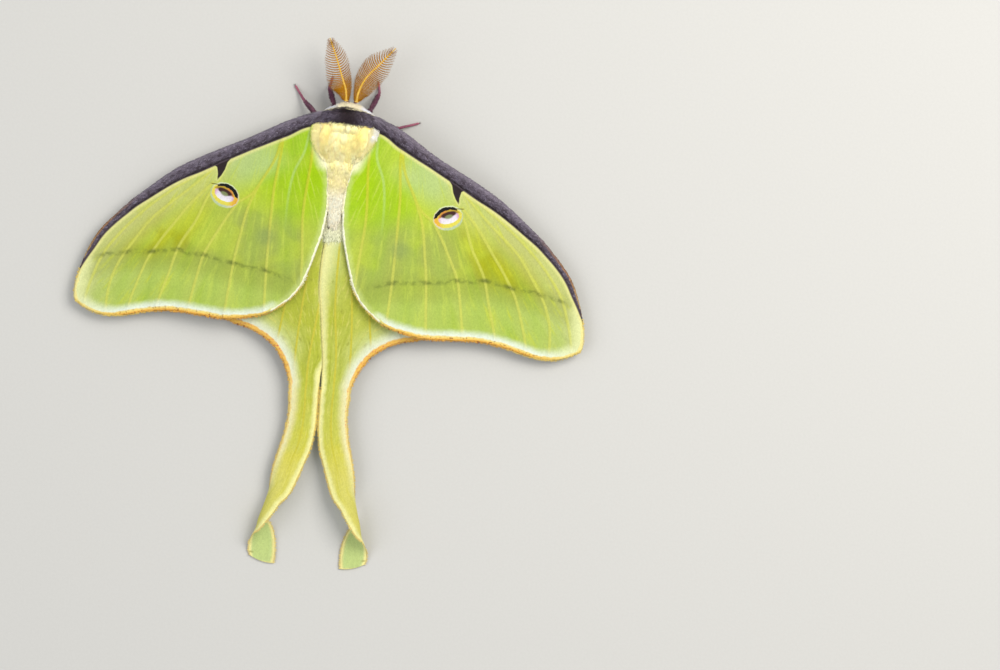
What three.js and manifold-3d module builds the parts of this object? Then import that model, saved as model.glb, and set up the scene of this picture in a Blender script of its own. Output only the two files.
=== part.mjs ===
// A male luna moth at rest with its wings spread flat, life size, in millimetres.
// +Z is up and the head points to +Y. Every outline is written for the right side, as [distance from the
// body's midline, y], and the left side is its mirror image with a slightly different pose.
import * as THREE from "three";
import { mergeVertices } from "three/addons/utils/BufferGeometryUtils.js";
import Module from "manifold-3d";

const wasm = await Module();
wasm.setup();

// ---- Driving sizes ----
const WING_THICKNESS = 0.5;
const WING_GAP = 0.3; // air between a forewing and the hindwing under it
const CUT_GAP = 0.15; // air between a piece and the neighbour that it is cut by
const SLIVER = 0.01; // faces thinner than this are taken out after a cut
const ROOT_HEIGHT = 7.6; // height of the forewings' middle surface at the body
const TIP_HEIGHT = 1.7; // height that the forewings sink to at their tips
const TAIL_START_Y = -41.4; // where a hindwing ends and its tail begins
const COSTA_BASE_WIDTH = 2.1;
const COSTA_FLATNESS = 0.62;
const COSTA_END = 0.88; // share of the leading edge that the thick vein follows
const SIDES = { left: -1, right: 1 };

// What differs between the two sides of the resting pose.
const POSE = {
  left: { tipTuck: 0.85, tailSplayDeg: -1.0 },
  right: { tipTuck: 0, tailSplayDeg: 1.0 },
};
const HIND_SWAY_DEG = 0.3; // both hindwings lean a little to the right
const HEAD_TURN = 0.6; // how far the front of the body bends to the right

const COLOURS = {
  wing: 0xa9cf4f,
  hindwing: 0xbccb5e,
  tail: 0xd6d465,
  costa: 0x584a60,
  yellowHair: 0xf3e39a,
  whiteHair: 0xf2eddc,
  collar: 0x4a3942,
  antenna: 0xb8892c,
  leg: 0x7c3f66,
  tarsus: 0xb0668c,
  eye: 0x1c1512,
};

// ---- Outlines of the wings, from the root outwards ----
const LEADING_EDGE = [
  [4.0, 4.0], [9.4, 1.9], [15.3, -1.5], [21.1, -4.4], [26.9, -7.6], [32.7, -12], [35.7, -14.6],
  [40, -19.6], [42.4, -25.5], [43, -29.6],
];
const TRAILING_EDGE = [
  [3.4, -2], [1.9, -5.2], [1.25, -9], [1.2, -12.5], [1.6, -16], [2.4, -19.2], [3.3, -22.3], [4.4, -25.2],
  [6.2, -27.6], [8.7, -29.6], [11.3, -30.8], [16.5, -31.8], [21, -31.6], [26, -31.4], [30, -31.95],
  [34.2, -32.9], [36.8, -33.2], [39.5, -32.85], [42.5, -31.4],
];
const HIND_OUTER_EDGE = [
  [2.8, -3.4], [9.5, -5.8], [16, -9.5], [21.5, -15], [23.8, -21], [22.8, -26.5], [19.8, -30.2], [15.9, -32],
  [13.1, -32.7], [10.7, -33.7], [8.6, -35.1], [7.1, -36.9], [6.0, -38.8], [5.1, TAIL_START_Y],
];
// The line along which the hindwings meet over the abdomen, as [x, y, half of the gap between them]: the
// right one reaches past the midline, and the abdomen's long wool comes up through the gap in front.
const HIND_SEAM = [
  [0, -5.4, 1.5], [0, -9.5, 1.25], [-0.4, -13.5, 0.8], [-1.2, -16, CUT_GAP], [-1.7, -20, CUT_GAP],
  [-1.7, -25, CUT_GAP], [-1.1, -29, CUT_GAP], [-0.6, -33, CUT_GAP], [-0.1, -37, CUT_GAP],
  [0.05, TAIL_START_Y, CUT_GAP],
];

// ---- Tail ribbon: [distance, y, z, width, roll in degrees, cupping in radians] ----
// The ribbon turns over between its broad part and the paddle at its end, which lies on the floor.
const FOOT_Z = WING_THICKNESS / 2;
const TAIL = [
  [2.6, TAIL_START_Y - 0.2, 2.75, 5.1, 0, 0.25], [2.52, -45, 2.5, 4.8, 0, 0.25],
  [2.65, -48, 2.4, 4.95, 0, 0.25], [3.1, -51, 2.4, 5.1, 0, 0.3], [3.75, -53.2, 2.4, 5.0, 2, 0.3],
  [4.55, -56, 2.5, 4.7, 6, 0.4], [5.2, -58.6, 2.6, 4.3, 16, 0.6], [6.05, -60.6, 2.65, 4.2, 42, 1.0],
  [6.65, -62.6, 2.6, 4.2, 60, 1.3], [7.25, -64.6, 2.4, 4.3, 92, 1.3], [7.6, -66.4, 1.5, 4.4, 143, 0.8],
  [7.7, -68.2, 0.62, 4.5, 172, 0.3], [7.65, -69.8, FOOT_Z, 4.5, 180, 0], [7.55, -71.6, FOOT_Z, 4.0, 180, 0],
];
const PADDLE_ROUNDING = 1.3;
const TAIL_TIP_FROM = 5; // index in TAIL where the tail tip takes over

// ---- Legs: hip, knee, ankle and toe, as [distance, y, z] ----
const TOE_RADIUS = 0.3;
const LEGS = {
  foreleg: {
    left: [[1.5, 2.4, 2.0], [2.9, 5.6, 2.8], [4.0, 8.3, 1.3], [3.7, 10.2, 0]],
    right: [[1.5, 2.4, 2.0], [3.3, 5.2, 2.8], [4.4, 8.2, 1.3], [4.0, 10.1, 0]],
  },
  midleg: {
    left: [[2.4, 0.8, 2.2], [5.6, 3.5, 3.6], [8.0, 5.8, 1.2], [9.8, 8.2, 0]],
    right: [[2.4, 0.8, 2.2], [5.4, 1.5, 3.6], [8.4, 2.8, 1.2], [11.5, 4.0, 0]],
  },
  hindleg: {
    left: [[2.2, -2.6, 2.2], [5.0, -4.6, 3.6], [7.4, -8.0, 1.2], [9.2, -11.0, 0]],
    right: [[2.2, -2.6, 2.2], [5.0, -4.6, 3.6], [7.4, -8.0, 1.2], [9.2, -11.0, 0]],
  },
};
const LEG_PARTS = [
  { name: "femur", radii: [0.75, 0.7, 0.5], colour: COLOURS.leg },
  { name: "tibia", radii: [0.5, 0.62, 0.42], colour: COLOURS.leg },
  { name: "tarsus", radii: [0.34, 0.32, TOE_RADIUS], colour: COLOURS.tarsus },
];

// ---- Antennae: the stem as [distance, y, z], with the reach of the comb on its inner and outer side ----
const ANTENNAE = {
  left: {
    stem: [[0.75, 6.05, 5.2], [0.95, 7.8, 5.6], [1.7, 9.7, 6.0], [3.1, 13.2, 6.5], [4.4, 16.1, 6.8]],
    inner: [0.35, 0.9, 1.5, 1.7, 0.3],
    outer: [0.35, 1.8, 2.6, 1.9, 0.3],
  },
  right: {
    stem: [[0.95, 6.05, 5.2], [1.2, 7.8, 5.6], [2.2, 10.1, 6.0], [4.2, 12.5, 6.4], [6.7, 15.5, 6.8]],
    inner: [0.35, 0.9, 1.8, 2.2, 0.3],
    outer: [0.35, 1.8, 2.5, 2.2, 0.3],
  },
};

// ---- Small helpers ----
const vec = (x, y, z) => new THREE.Vector3(x, y, z);
const lerp = THREE.MathUtils.lerp;
const smoothstep = THREE.MathUtils.smoothstep;

// A smooth curve through points of any dimension: returns the interpolated row at share t.
function through(rows) {
  const last = rows.length - 1;
  return (t) => {
    const place = Math.min(Math.max(t, 0), 1) * last;
    const i = Math.min(Math.floor(place), last - 1);
    const f = place - i;
    const row = (k) => rows[Math.min(Math.max(k, 0), last)];
    return rows[i].map((_, d) => {
      const [a, b, c, e] = [row(i - 1)[d], row(i)[d], row(i + 1)[d], row(i + 2)[d]];
      return b + 0.5 * f * (c - a + f * (2 * a - 5 * b + 4 * c - e + f * (3 * (b - c) + e - a)));
    });
  };
}

// The same curve with t spread evenly over its length in the plan.
function evenly(rows) {
  const curve = through(rows);
  const steps = 12 * rows.length;
  const lengths = [0];
  for (let i = 1; i <= steps; i++) {
    const [a, b] = [curve((i - 1) / steps), curve(i / steps)];
    lengths.push(lengths[i - 1] + Math.hypot(b[0] - a[0], b[1] - a[1]));
  }
  return (t) => {
    const wanted = Math.min(Math.max(t, 0), 1) * lengths[steps];
    let i = 1;
    while (i < steps && lengths[i] < wanted) i++;
    const share = (wanted - lengths[i - 1]) / (lengths[i] - lengths[i - 1]);
    return curve((i - 1 + share) / steps);
  };
}

// The front of the body bends gently to the right.
function turned(geometry) {
  const place = geometry.attributes.position;
  for (let i = 0; i < place.count; i++) {
    place.setX(i, place.getX(i) + HEAD_TURN * smoothstep(place.getY(i), -3, 5));
  }
  return geometry;
}

// The point at share u of a curve, moved to the right of the curve's direction of travel.
function beside(curve, u, distance) {
  const [x, y] = curve(u);
  const [before, after] = [curve(u - 0.01), curve(u + 0.01)];
  const [dx, dy] = [after[0] - before[0], after[1] - before[1]];
  const length = Math.hypot(dx, dy);
  return [x + (dy / length) * distance, y - (dx / length) * distance];
}

// A closed surface through rings of points that all have the same count, with a flat fan at each end.
function loft(rings) {
  const count = rings[0].length;
  const points = rings.flat();
  const faces = [];
  for (let r = 0; r + 1 < rings.length; r++) {
    for (let k = 0; k < count; k++) {
      const [a, b] = [r * count + k, r * count + ((k + 1) % count)];
      faces.push([a, b, b + count], [a, b + count, a + count]);
    }
  }
  for (const [ring, flip] of [[0, true], [rings.length - 1, false]]) {
    const middle = points.length;
    points.push(rings[ring].reduce((sum, p) => sum.add(p), vec(0, 0, 0)).divideScalar(count));
    for (let k = 0; k < count; k++) {
      const [a, b] = [ring * count + k, ring * count + ((k + 1) % count)];
      faces.push(flip ? [middle, b, a] : [middle, a, b]);
    }
  }
  const volume = faces.reduce(
    (sum, [a, b, c]) => sum + points[a].dot(points[b].clone().cross(points[c])), 0);
  if (volume < 0) faces.forEach((face) => face.reverse());
  const geometry = new THREE.BufferGeometry().setFromPoints(points);
  geometry.setIndex(faces.flat());
  return turned(geometry);
}

// A tapering tube along points, with a flat side underneath; it may be less tall than it is wide.
function tube(path, radii, { sides = 8, heights = radii } = {}) {
  const rings = path.map((p, i) => {
    const along = path[Math.min(i + 1, path.length - 1)].clone().sub(path[Math.max(i - 1, 0)]).normalize();
    const side = along.clone().cross(vec(0, 0, 1)).normalize();
    const rise = side.clone().cross(along);
    return Array.from({ length: sides }, (_, k) => {
      const angle = ((k + 0.5) * 2 * Math.PI) / sides;
      return p.clone()
        .addScaledVector(side, Math.cos(angle) * radii[i])
        .addScaledVector(rise, Math.sin(angle) * heights[i]);
    });
  });
  return loft(rings);
}

function ellipsoid(centre, radii, grow = 0, detail = 20) {
  const geometry = new THREE.SphereGeometry(1, detail, Math.round(detail * 0.6));
  geometry.scale(radii.x + grow, radii.y + grow, radii.z + grow);
  geometry.translate(centre.x, centre.y, centre.z);
  return turned(geometry);
}

// ---- Booleans ----
function solid(geometry) {
  const bare = geometry.clone();
  bare.deleteAttribute("normal");
  bare.deleteAttribute("uv");
  const merged = mergeVertices(bare, 1e-4);
  return new wasm.Manifold(new wasm.Mesh({
    numProp: 3,
    vertProperties: merged.attributes.position.array,
    triVerts: new Uint32Array(merged.index.array),
  }));
}

function geometryOf(manifold) {
  const mesh = manifold.getMesh();
  const geometry = new THREE.BufferGeometry();
  geometry.setAttribute("position", new THREE.BufferAttribute(mesh.vertProperties, 3));
  geometry.setIndex(new THREE.BufferAttribute(mesh.triVerts, 1));
  return geometry;
}

// What is left of a piece after the cuts, without slivers; of several bodies, the largest.
function cut(geometry, cutters) {
  const left = cutters.reduce((piece, cutter) => piece.subtract(solid(cutter)), solid(geometry));
  const bodies = left.decompose().sort((a, b) => b.volume() - a.volume());
  return geometryOf(bodies[0].simplify(SLIVER));
}
const join = (...geometries) => geometryOf(geometries.map(solid).reduce((a, b) => a.add(b)));

// ---- Wing surfaces ----
// Height of a forewing's middle surface: highest at the body, sinking outwards and backwards.
function foreHeight(x, y) {
  const outwards = Math.exp(-Math.pow(Math.abs(x) / 22, 1.5));
  const backwards = 1 - 0.35 * smoothstep(-y, 8, 34);
  return TIP_HEIGHT + (ROOT_HEIGHT - TIP_HEIGHT) * outwards * backwards;
}

// A hindwing lies under the forewing, and sinks further behind it towards its tail.
function hindHeight(x, y) {
  return foreHeight(x, y) - WING_THICKNESS - WING_GAP - 1.7 * smoothstep(-y, 20, 40);
}

const bandWidth = (u) => COSTA_BASE_WIDTH * (1 - Math.pow(u, 2.2));

// The tip of a wing that is tucked in sits a little nearer to the body.
const tucked = (x, tuck) => x - tuck * smoothstep(x, 24, 38);

// Moves an end ring outwards, away from the ring next to it.
function lengthen(end, next, distance) {
  end.forEach((p, k) => p.add(p.clone().sub(next[k]).setZ(0).normalize().multiplyScalar(distance)));
}

// A plate between two edges: front(u) and back(u) give [x, y], and height(x, y) its middle surface.
function plate({ front, back, height, side, across, along, grow = 0 }) {
  const half = WING_THICKNESS / 2 + grow;
  const rings = [];
  for (let i = 0; i <= along; i++) {
    const u = i / along;
    const [a, b] = [front(u), back(u)];
    const row = Array.from({ length: across + 1 }, (_, k) => {
      const v = k / across;
      const [x, y] = [lerp(a[0], b[0], v), lerp(a[1], b[1], v)];
      return vec(side * x, y, height(x, y));
    });
    const top = row.map((p) => p.clone().add(vec(0, 0, half)));
    const bottom = row.map((p) => p.clone().add(vec(0, 0, -half))).reverse();
    rings.push([...top, ...bottom]);
  }
  lengthen(rings[0], rings[1], grow);
  lengthen(rings[along], rings[along - 1], grow);
  return loft(rings);
}

function forewing(name, grow = 0) {
  const tuck = ([x, y]) => [tucked(x, POSE[name].tipTuck), y];
  const [leading, trailing] = [evenly(LEADING_EDGE), evenly(TRAILING_EDGE)];
  return plate({
    front: (u) => {
      const behindVein = (bandWidth(u) + CUT_GAP) * (1 - smoothstep(u, COSTA_END, COSTA_END + 0.06));
      return tuck(beside(leading, u, behindVein - grow));
    },
    back: (u) => tuck(beside(trailing, u, grow)),
    height: foreHeight,
    side: SIDES[name],
    across: 4,
    along: 24,
    grow,
  });
}

// The thick vein along the leading edge.
function costa(name, grow = 0) {
  const edge = evenly(LEADING_EDGE);
  const steps = 15;
  const path = [];
  const widths = [];
  const heights = [];
  for (let i = 0; i <= steps; i++) {
    const u = lerp(0.012, COSTA_END, i / steps);
    const half = bandWidth(u) / 2;
    const [x, y] = beside(edge, u, half);
    path.push(vec(SIDES[name] * tucked(x, POSE[name].tipTuck), y, foreHeight(x, y)));
    widths.push(half + grow);
    heights.push(half * COSTA_FLATNESS + grow);
  }
  return tube(path, widths, { heights });
}

function hindwing(name, grow = 0) {
  const side = SIDES[name];
  const [outer, seam] = [evenly(HIND_OUTER_EDGE), evenly(HIND_SEAM)];
  const geometry = plate({
    front: (u) => beside(outer, u, -grow),
    back: (u) => {
      const [x, y, halfGap] = seam(u);
      return [side * x + halfGap - grow, y];
    },
    height: hindHeight,
    side,
    across: 4,
    along: 16,
    grow,
  });
  return geometry.rotateZ(THREE.MathUtils.degToRad(HIND_SWAY_DEG));
}

// A length of the tail ribbon, between two shares of the rows in TAIL.
function tailLength(name, from, to, steps, across = 4) {
  const side = SIDES[name];
  const row = through(TAIL);
  const splay = THREE.MathUtils.degToRad(POSE[name].tailSplayDeg);
  const rings = [];
  for (let i = 0; i <= steps; i++) {
    const t = lerp(from, to, i / steps);
    const [x, y, height, width, rollDeg, cup] = row(t);
    const z = Math.max(height, FOOT_Z);
    const roll = THREE.MathUtils.degToRad(Math.min(rollDeg, 180));
    const [before, after] = [row(t - 0.01), row(t + 0.01)];
    const sinking = Math.max(after[2], FOOT_Z) - Math.max(before[2], FOOT_Z);
    const along = vec(after[0] - before[0], after[1] - before[1], sinking).normalize();
    const level = vec(0, 0, 1).cross(along).normalize();
    const turn = new THREE.Quaternion().setFromAxisAngle(along, -roll);
    const outwards = level.applyQuaternion(turn);
    const normal = along.clone().cross(outwards);
    const bend = Math.max(cup, 1e-3);
    const taper = smoothstep(t, 0.9, 1); // the paddle's end is rounded on its outer side
    const row3 = Array.from({ length: across + 1 }, (_, k) => {
      const v = lerp(-1, 1, k / across);
      const wide = ((width / 2) * Math.sin(v * bend)) / bend;
      const deep = ((width / 2) * (Math.cos(v * bend) - Math.cos(bend))) / bend;
      const middle = vec(x, y, z).addScaledVector(outwards, wide).addScaledVector(normal, deep);
      middle.addScaledVector(along, -PADDLE_ROUNDING * taper * Math.pow((1 - v) / 2, 2));
      const out = outwards.clone().multiplyScalar(Math.sin(v * bend))
        .addScaledVector(normal, Math.cos(v * bend));
      return { middle, out };
    });
    const shell = (sign) => row3.map(({ middle, out }) =>
      middle.clone().addScaledVector(out, (sign * WING_THICKNESS) / 2));
    rings.push([...shell(1), ...shell(-1).reverse()]);
  }
  const pivot = vec(TAIL[0][0], TAIL_START_Y, 0);
  const geometry = loft(rings.map((ring) => ring.map((p) => {
    const q = p.clone().sub(pivot).applyAxisAngle(vec(0, 0, 1), splay).add(pivot);
    return vec(side * q.x, q.y, q.z);
  })));
  return geometry.rotateZ(THREE.MathUtils.degToRad(HIND_SWAY_DEG));
}

// ---- Body ----
// A body shape with elliptical sections: rows are [y, half width, bottom, top].
function bodyLoft(rows, steps, grow = 0, around = 16) {
  const row = through(rows);
  const rings = [];
  for (let i = 0; i <= steps; i++) {
    const [y, half, bottom, top] = row(i / steps);
    const [middle, tall] = [(bottom + top) / 2, (top - bottom) / 2];
    rings.push(Array.from({ length: around }, (_, k) => {
      const angle = (k * 2 * Math.PI) / around;
      return vec(Math.cos(angle) * (half + grow), y, middle + Math.sin(angle) * (tall + grow));
    }));
  }
  return loft(rings);
}

const THORAX_BACK_Y = -6.2;
const THORAX = [
  [3.7, 2.2, 2.4, 6.6], [2.8, 3.5, 1.7, 8.1], [1.2, 4.2, 1.5, 9.0], [-1.2, 4.4, 1.5, 8.9],
  [-3.6, 4.1, 1.5, 8.4], [THORAX_BACK_Y, 3.5, 1.5, 7.4],
];
const ABDOMEN = [
  [THORAX_BACK_Y - 0.2, 3.3, 1.2, 6.0], [-10, 3.4, 0.8, 5.9], [-15, 3.3, 0.7, 5.7], [-19, 2.8, 0.8, 5.2],
  [-22.5, 1.9, 1.2, 4.4], [-24.5, 0.6, 1.9, 3.4],
];
const HEAD = { centre: vec(0, 4.1, 4.7), radii: vec(2.3, 1.6, 2.1) };
const EYE = { x: 1.85, y: 4.25, z: 4.55, radii: vec(0.85, 0.95, 1.1) };
const RIDGE = { centre: vec(0, -10.5, 6.8), radii: vec(0.9, 4.0, 1.4) }; // wool between the forewings
const TEGULA = { x: 3.35, y: -0.15, z: 8.1, radii: vec(1.15, 2.3, 0.85) };
const COLLAR_PATH = [[-4.8, 2.7, 7.3], [-3.1, 3.2, 8.0], [0, 3.5, 8.5], [3.1, 3.2, 8.0], [4.8, 2.7, 7.3]];
const RUFF_PATH = [[-4.6, 3.5, 6.2], [-3, 4.3, 6.8], [0, 4.75, 7.1], [3, 4.3, 6.8], [4.6, 3.5, 6.2]];

// The dark collar that joins the leading edges across the thorax, and the pale ruff in front of it.
function band(rows, radius, height) {
  const row = through(rows);
  const path = Array.from({ length: 11 }, (_, i) => vec(...row(i / 10)));
  return tube(path, path.map(() => radius), { heights: path.map(() => height) });
}
const collar = (grow = 0) => band(COLLAR_PATH, 1.0 + grow, 0.85 + grow);
const ruff = (grow = 0) => band(RUFF_PATH, 0.75 + grow, 0.7 + grow);

const head = (grow = 0) => ellipsoid(HEAD.centre, HEAD.radii, grow, 14);
const eye = (side, grow = 0) => ellipsoid(vec(side * EYE.x, EYE.y, EYE.z), EYE.radii, grow, 12);

function palp(side, grow = 0) {
  const path = [vec(side * 0.5, 5.1, 3.4), vec(side * 0.6, 5.7, 3.0), vec(side * 0.65, 6.3, 2.9)];
  return tube(path, [0.4, 0.38, 0.26].map((r) => r + grow));
}

const tegula = (side, grow = 0) =>
  ellipsoid(vec(side * TEGULA.x, TEGULA.y, TEGULA.z), TEGULA.radii, grow, 12);

// A feathered antenna as a flat blade that is thickest along its stem.
function antenna(name) {
  const { stem, inner, outer } = ANTENNAE[name];
  const [centre, reach] = [through(stem), through(inner.map((r, i) => [r, outer[i]]))];
  const steps = 16;
  const [edge, spine] = [0.25, 0.32];
  const rings = [];
  for (let i = 0; i <= steps; i++) {
    const t = i / steps;
    const middle = vec(...centre(t));
    const along = vec(...centre(t + 0.02)).sub(vec(...centre(t - 0.02))).normalize();
    const out = along.clone().cross(vec(0, 0, 1)).normalize();
    const [inwards, outwards] = reach(t);
    const at = (sideways, up) => middle.clone().addScaledVector(out, sideways).add(vec(0, 0, up));
    rings.push([
      at(outwards, edge), at(0, spine), at(-inwards, edge),
      at(-inwards, -edge), at(0, -spine), at(outwards, -edge),
    ].map((p) => vec(SIDES[name] * p.x, p.y, p.z)));
  }
  return loft(rings);
}

// One leg segment: rounded ends and a small gap at each joint; the tarsus lies flat on the floor at its toe.
function legPart(points, index, side, grow = 0) {
  const part = LEG_PARTS[index];
  const sole = TOE_RADIUS * Math.cos(Math.PI / 8);
  const at = (p) => vec(side * p[0], p[1], Math.max(p[2], sole));
  const [from, to] = [at(points[index]), at(points[index + 1])];
  const length = from.distanceTo(to);
  const gap = 0.12 / length;
  const shares = [gap, 0.12, 0.5, 0.9, 1 - gap];
  const swell = [0.6, 1, 1, 1, 0.6];
  const [r0, r1, r2] = part.radii;
  const radii = [r0, r0, r1, r2, r2].map((r, i) => r * swell[i] + grow);
  const path = shares.map((s) => from.clone().lerp(to, s));
  if (part.name === "tarsus") {
    const flat = to.clone().sub(from).setZ(0).normalize();
    path.splice(3, 2, to.clone().addScaledVector(flat, -0.9), to.clone());
    radii.splice(3, 2, TOE_RADIUS + grow, TOE_RADIUS + grow);
  }
  return tube(path, radii);
}

// ---- Assembly ----
const moth = new THREE.Group();

function add(name, geometry, colour, roughness = 0.8) {
  const material = new THREE.MeshStandardMaterial({ color: colour, roughness, metalness: 0 });
  const mesh = new THREE.Mesh(geometry, material);
  mesh.name = name;
  moth.add(mesh);
}

const sides = Object.entries(SIDES);
const wingRoom = sides.flatMap(([name]) => [
  forewing(name, CUT_GAP), hindwing(name, CUT_GAP), costa(name, CUT_GAP),
]);
const hipRoom = sides.flatMap(([name, side]) =>
  Object.values(LEGS).map((leg) => legPart(leg[name], 0, side, CUT_GAP)));
const eyeRoom = sides.map(([, side]) => eye(side, CUT_GAP));
const palpRoom = sides.map(([, side]) => palp(side, CUT_GAP));
const tegulaRoom = sides.map(([, side]) => tegula(side, CUT_GAP));

const woolly = join(bodyLoft(ABDOMEN, 10), ellipsoid(RIDGE.centre, RIDGE.radii, 0, 12));
add("thorax",
  cut(bodyLoft(THORAX, 8),
    [...wingRoom, ...hipRoom, ...tegulaRoom, ...eyeRoom, collar(CUT_GAP), ruff(CUT_GAP), head(CUT_GAP)]),
  COLOURS.yellowHair, 0.95);
add("collar", cut(collar(), wingRoom), COLOURS.collar, 0.95);
add("ruff", cut(ruff(), [...wingRoom, collar(CUT_GAP)]), COLOURS.whiteHair, 0.95);
add("head", cut(head(), [...eyeRoom, ...palpRoom, ...hipRoom, collar(CUT_GAP), ruff(CUT_GAP)]),
  COLOURS.whiteHair, 0.95);
add("abdomen", cut(woolly, wingRoom), COLOURS.whiteHair, 0.95);

for (const [name, side] of sides) {
  add(`eye_${name}`, eye(side), COLOURS.eye, 0.25);
  add(`palp_${name}`, palp(side), COLOURS.leg);
  add(`antenna_${name}`, antenna(name), COLOURS.antenna);
  add(`tegula_${name}`, cut(tegula(side), [...wingRoom, collar(CUT_GAP)]), COLOURS.yellowHair, 0.95);
  add(`forewing_${name}`, forewing(name), COLOURS.wing, 0.7);
  add(`costa_${name}`, cut(costa(name), [collar(CUT_GAP), ruff(CUT_GAP)]), COLOURS.costa);
  add(`hindwing_${name}`, hindwing(name), COLOURS.hindwing, 0.7);
  const tipShare = TAIL_TIP_FROM / (TAIL.length - 1);
  add(`tail_${name}`, tailLength(name, 0, tipShare, 7), COLOURS.tail, 0.7);
  add(`tail_tip_${name}`, tailLength(name, tipShare + 0.004, 1, 22), COLOURS.tail, 0.7);
  for (const [leg, points] of Object.entries(LEGS)) {
    LEG_PARTS.forEach((part, index) =>
      add(`${leg}_${name}_${part.name}`, legPart(points[name], index, side), part.colour));
  }
}

// The origin is on the floor under the middle of the whole moth.
const box = new THREE.Box3().setFromObject(moth, true);
const middle = box.getCenter(vec(0, 0, 0));
moth.position.set(-middle.x, -middle.y, 0);

export default moth;
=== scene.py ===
import math

import bpy
import numpy as np
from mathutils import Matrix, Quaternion, Vector
from mathutils.bvhtree import BVHTree
from mathutils.geometry import delaunay_2d_cdt
from mathutils.kdtree import KDTree


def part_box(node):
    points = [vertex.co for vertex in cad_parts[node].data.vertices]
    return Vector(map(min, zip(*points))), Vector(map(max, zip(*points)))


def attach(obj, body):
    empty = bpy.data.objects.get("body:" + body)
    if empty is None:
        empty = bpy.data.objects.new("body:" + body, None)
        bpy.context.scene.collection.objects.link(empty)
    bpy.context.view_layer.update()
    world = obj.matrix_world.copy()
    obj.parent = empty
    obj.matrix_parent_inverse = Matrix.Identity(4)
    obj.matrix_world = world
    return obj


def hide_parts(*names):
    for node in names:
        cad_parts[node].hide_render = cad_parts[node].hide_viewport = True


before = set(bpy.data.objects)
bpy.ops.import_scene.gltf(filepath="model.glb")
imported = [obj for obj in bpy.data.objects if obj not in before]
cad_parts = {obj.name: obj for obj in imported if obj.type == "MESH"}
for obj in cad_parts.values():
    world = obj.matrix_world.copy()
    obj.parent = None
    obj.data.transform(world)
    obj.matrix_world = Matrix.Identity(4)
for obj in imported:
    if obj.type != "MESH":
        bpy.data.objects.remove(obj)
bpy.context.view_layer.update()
MM = 0.001
SIDES = {"left": -1, "right": 1}

# ---- Where the body's own frame lies ----
ABDOMEN_FRONT_Y = -6.4
abdomen_low, abdomen_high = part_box("abdomen")
ORIGIN = np.array([
    (abdomen_low.x + abdomen_high.x) / 2 / MM,
    abdomen_high.y / MM - ABDOMEN_FRONT_Y,
    0.0,
])

# ---- Driving sizes of the wings, as in the CAD source ----
WING_GAP = 0.8  # a hindwing's middle surface lies this far under the forewing's
ROOT_HEIGHT = 7.6
TIP_HEIGHT = 1.7
TAIL_START_Y = -41.4
COSTA_WIDTHS = [  # the thick front vein's width at shares of the leading edge; below 0 it has ended
    (0, 1.9), (0.07, 1.95), (0.12, 2.4), (0.24, 1.9), (0.42, 2.2), (0.55, 1.65), (0.73, 1.05), (0.85, 0.85),
    (0.93, 0.05), (1, -0.8),
]
COSTA_FLATNESS = 0.62
HIND_SWAY = math.radians(0.3)
HEAD_TURN = 0.6
TIP_TUCK = {"left": 0.85, "right": 0.0}
TAIL_SPLAY = {"left": math.radians(-1.0), "right": math.radians(1.0)}
SHEET_HALF = 0.14  # half of a wing's thickness away from its edges
SHEET_STEP = 0.24  # spacing of the points that fill a wing

LEADING_EDGE = [
    (4.0, 4.0), (9.4, 1.9), (15.3, -1.5), (21.1, -4.4), (26.9, -7.6), (32.7, -12), (35.7, -14.6),
    (40, -19.6), (42.4, -25.5), (43, -29.6),
]
TRAILING_EDGE = [
    (3.4, -2), (1.9, -5.2), (1.25, -9), (1.2, -12.5), (1.6, -16), (2.4, -19.2), (3.3, -22.3),
    (4.4, -25.2), (6.2, -27.6), (8.7, -29.6), (11.3, -30.8), (16.5, -31.8), (21, -31.6), (26, -31.4),
    (30, -31.95), (34.2, -32.9), (36.8, -33.2), (39.5, -32.85), (42.5, -31.4),
]
HIND_ANGLE = 9  # index in TRAILING_EDGE where the inner margin becomes the outer one
HIND_OUTER_EDGE = [
    (2.8, -3.4), (9.5, -5.8), (16, -9.5), (21.5, -15), (23.8, -21), (22.8, -26.5), (19.8, -30.2),
    (15.9, -32), (13.1, -32.7), (10.7, -33.7), (8.6, -35.1), (7.1, -36.9), (6.0, -38.8),
    (5.1, TAIL_START_Y),
]
# Where the hindwings meet: [x, y, half of the gap]. The right one laps over the left one's margin.
HIND_SEAM = [
    (0, -5.4, 1.5), (0, -9.5, 1.25), (-0.4, -13.5, 0.7), (-1.2, -16, 0.1), (-1.7, -20, 0),
    (-1.7, -25, 0), (-1.1, -29, 0), (-0.6, -33, 0), (-0.1, -37, 0.05), (0.05, TAIL_START_Y, 0.15),
]
SEAM_LAP = 0.9  # how far the left hindwing reaches under the right one

# Tail ribbon: distance, y, z, width, roll in degrees, cupping in radians.
TAIL = [
    (2.6, -41.6, 2.75, 5.1, 0, 0.25), (2.52, -45, 2.5, 4.8, 0, 0.25), (2.65, -48, 2.4, 4.95, 0, 0.25),
    (3.1, -51, 2.4, 5.1, 0, 0.3), (3.75, -53.2, 2.4, 5.0, 2, 0.3), (4.55, -56, 2.5, 4.7, 6, 0.4),
    (5.2, -58.6, 2.6, 4.3, 16, 0.6), (6.05, -60.6, 2.65, 4.2, 42, 1.0), (6.65, -62.6, 2.6, 4.2, 60, 1.3),
    (7.25, -64.6, 2.4, 4.3, 92, 1.3), (7.6, -66.4, 1.5, 4.4, 143, 0.8), (7.7, -68.2, 0.62, 4.5, 172, 0.3),
    (7.65, -69.8, 0.25, 4.5, 180, 0), (7.55, -71.6, 0.25, 4.0, 180, 0),
]
PADDLE_ROUNDING = 1.3
TAIL_REST = 0.25  # least height of the ribbon's middle surface
TAIL_ACROSS = 20
TAIL_STEPS = 190

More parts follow.
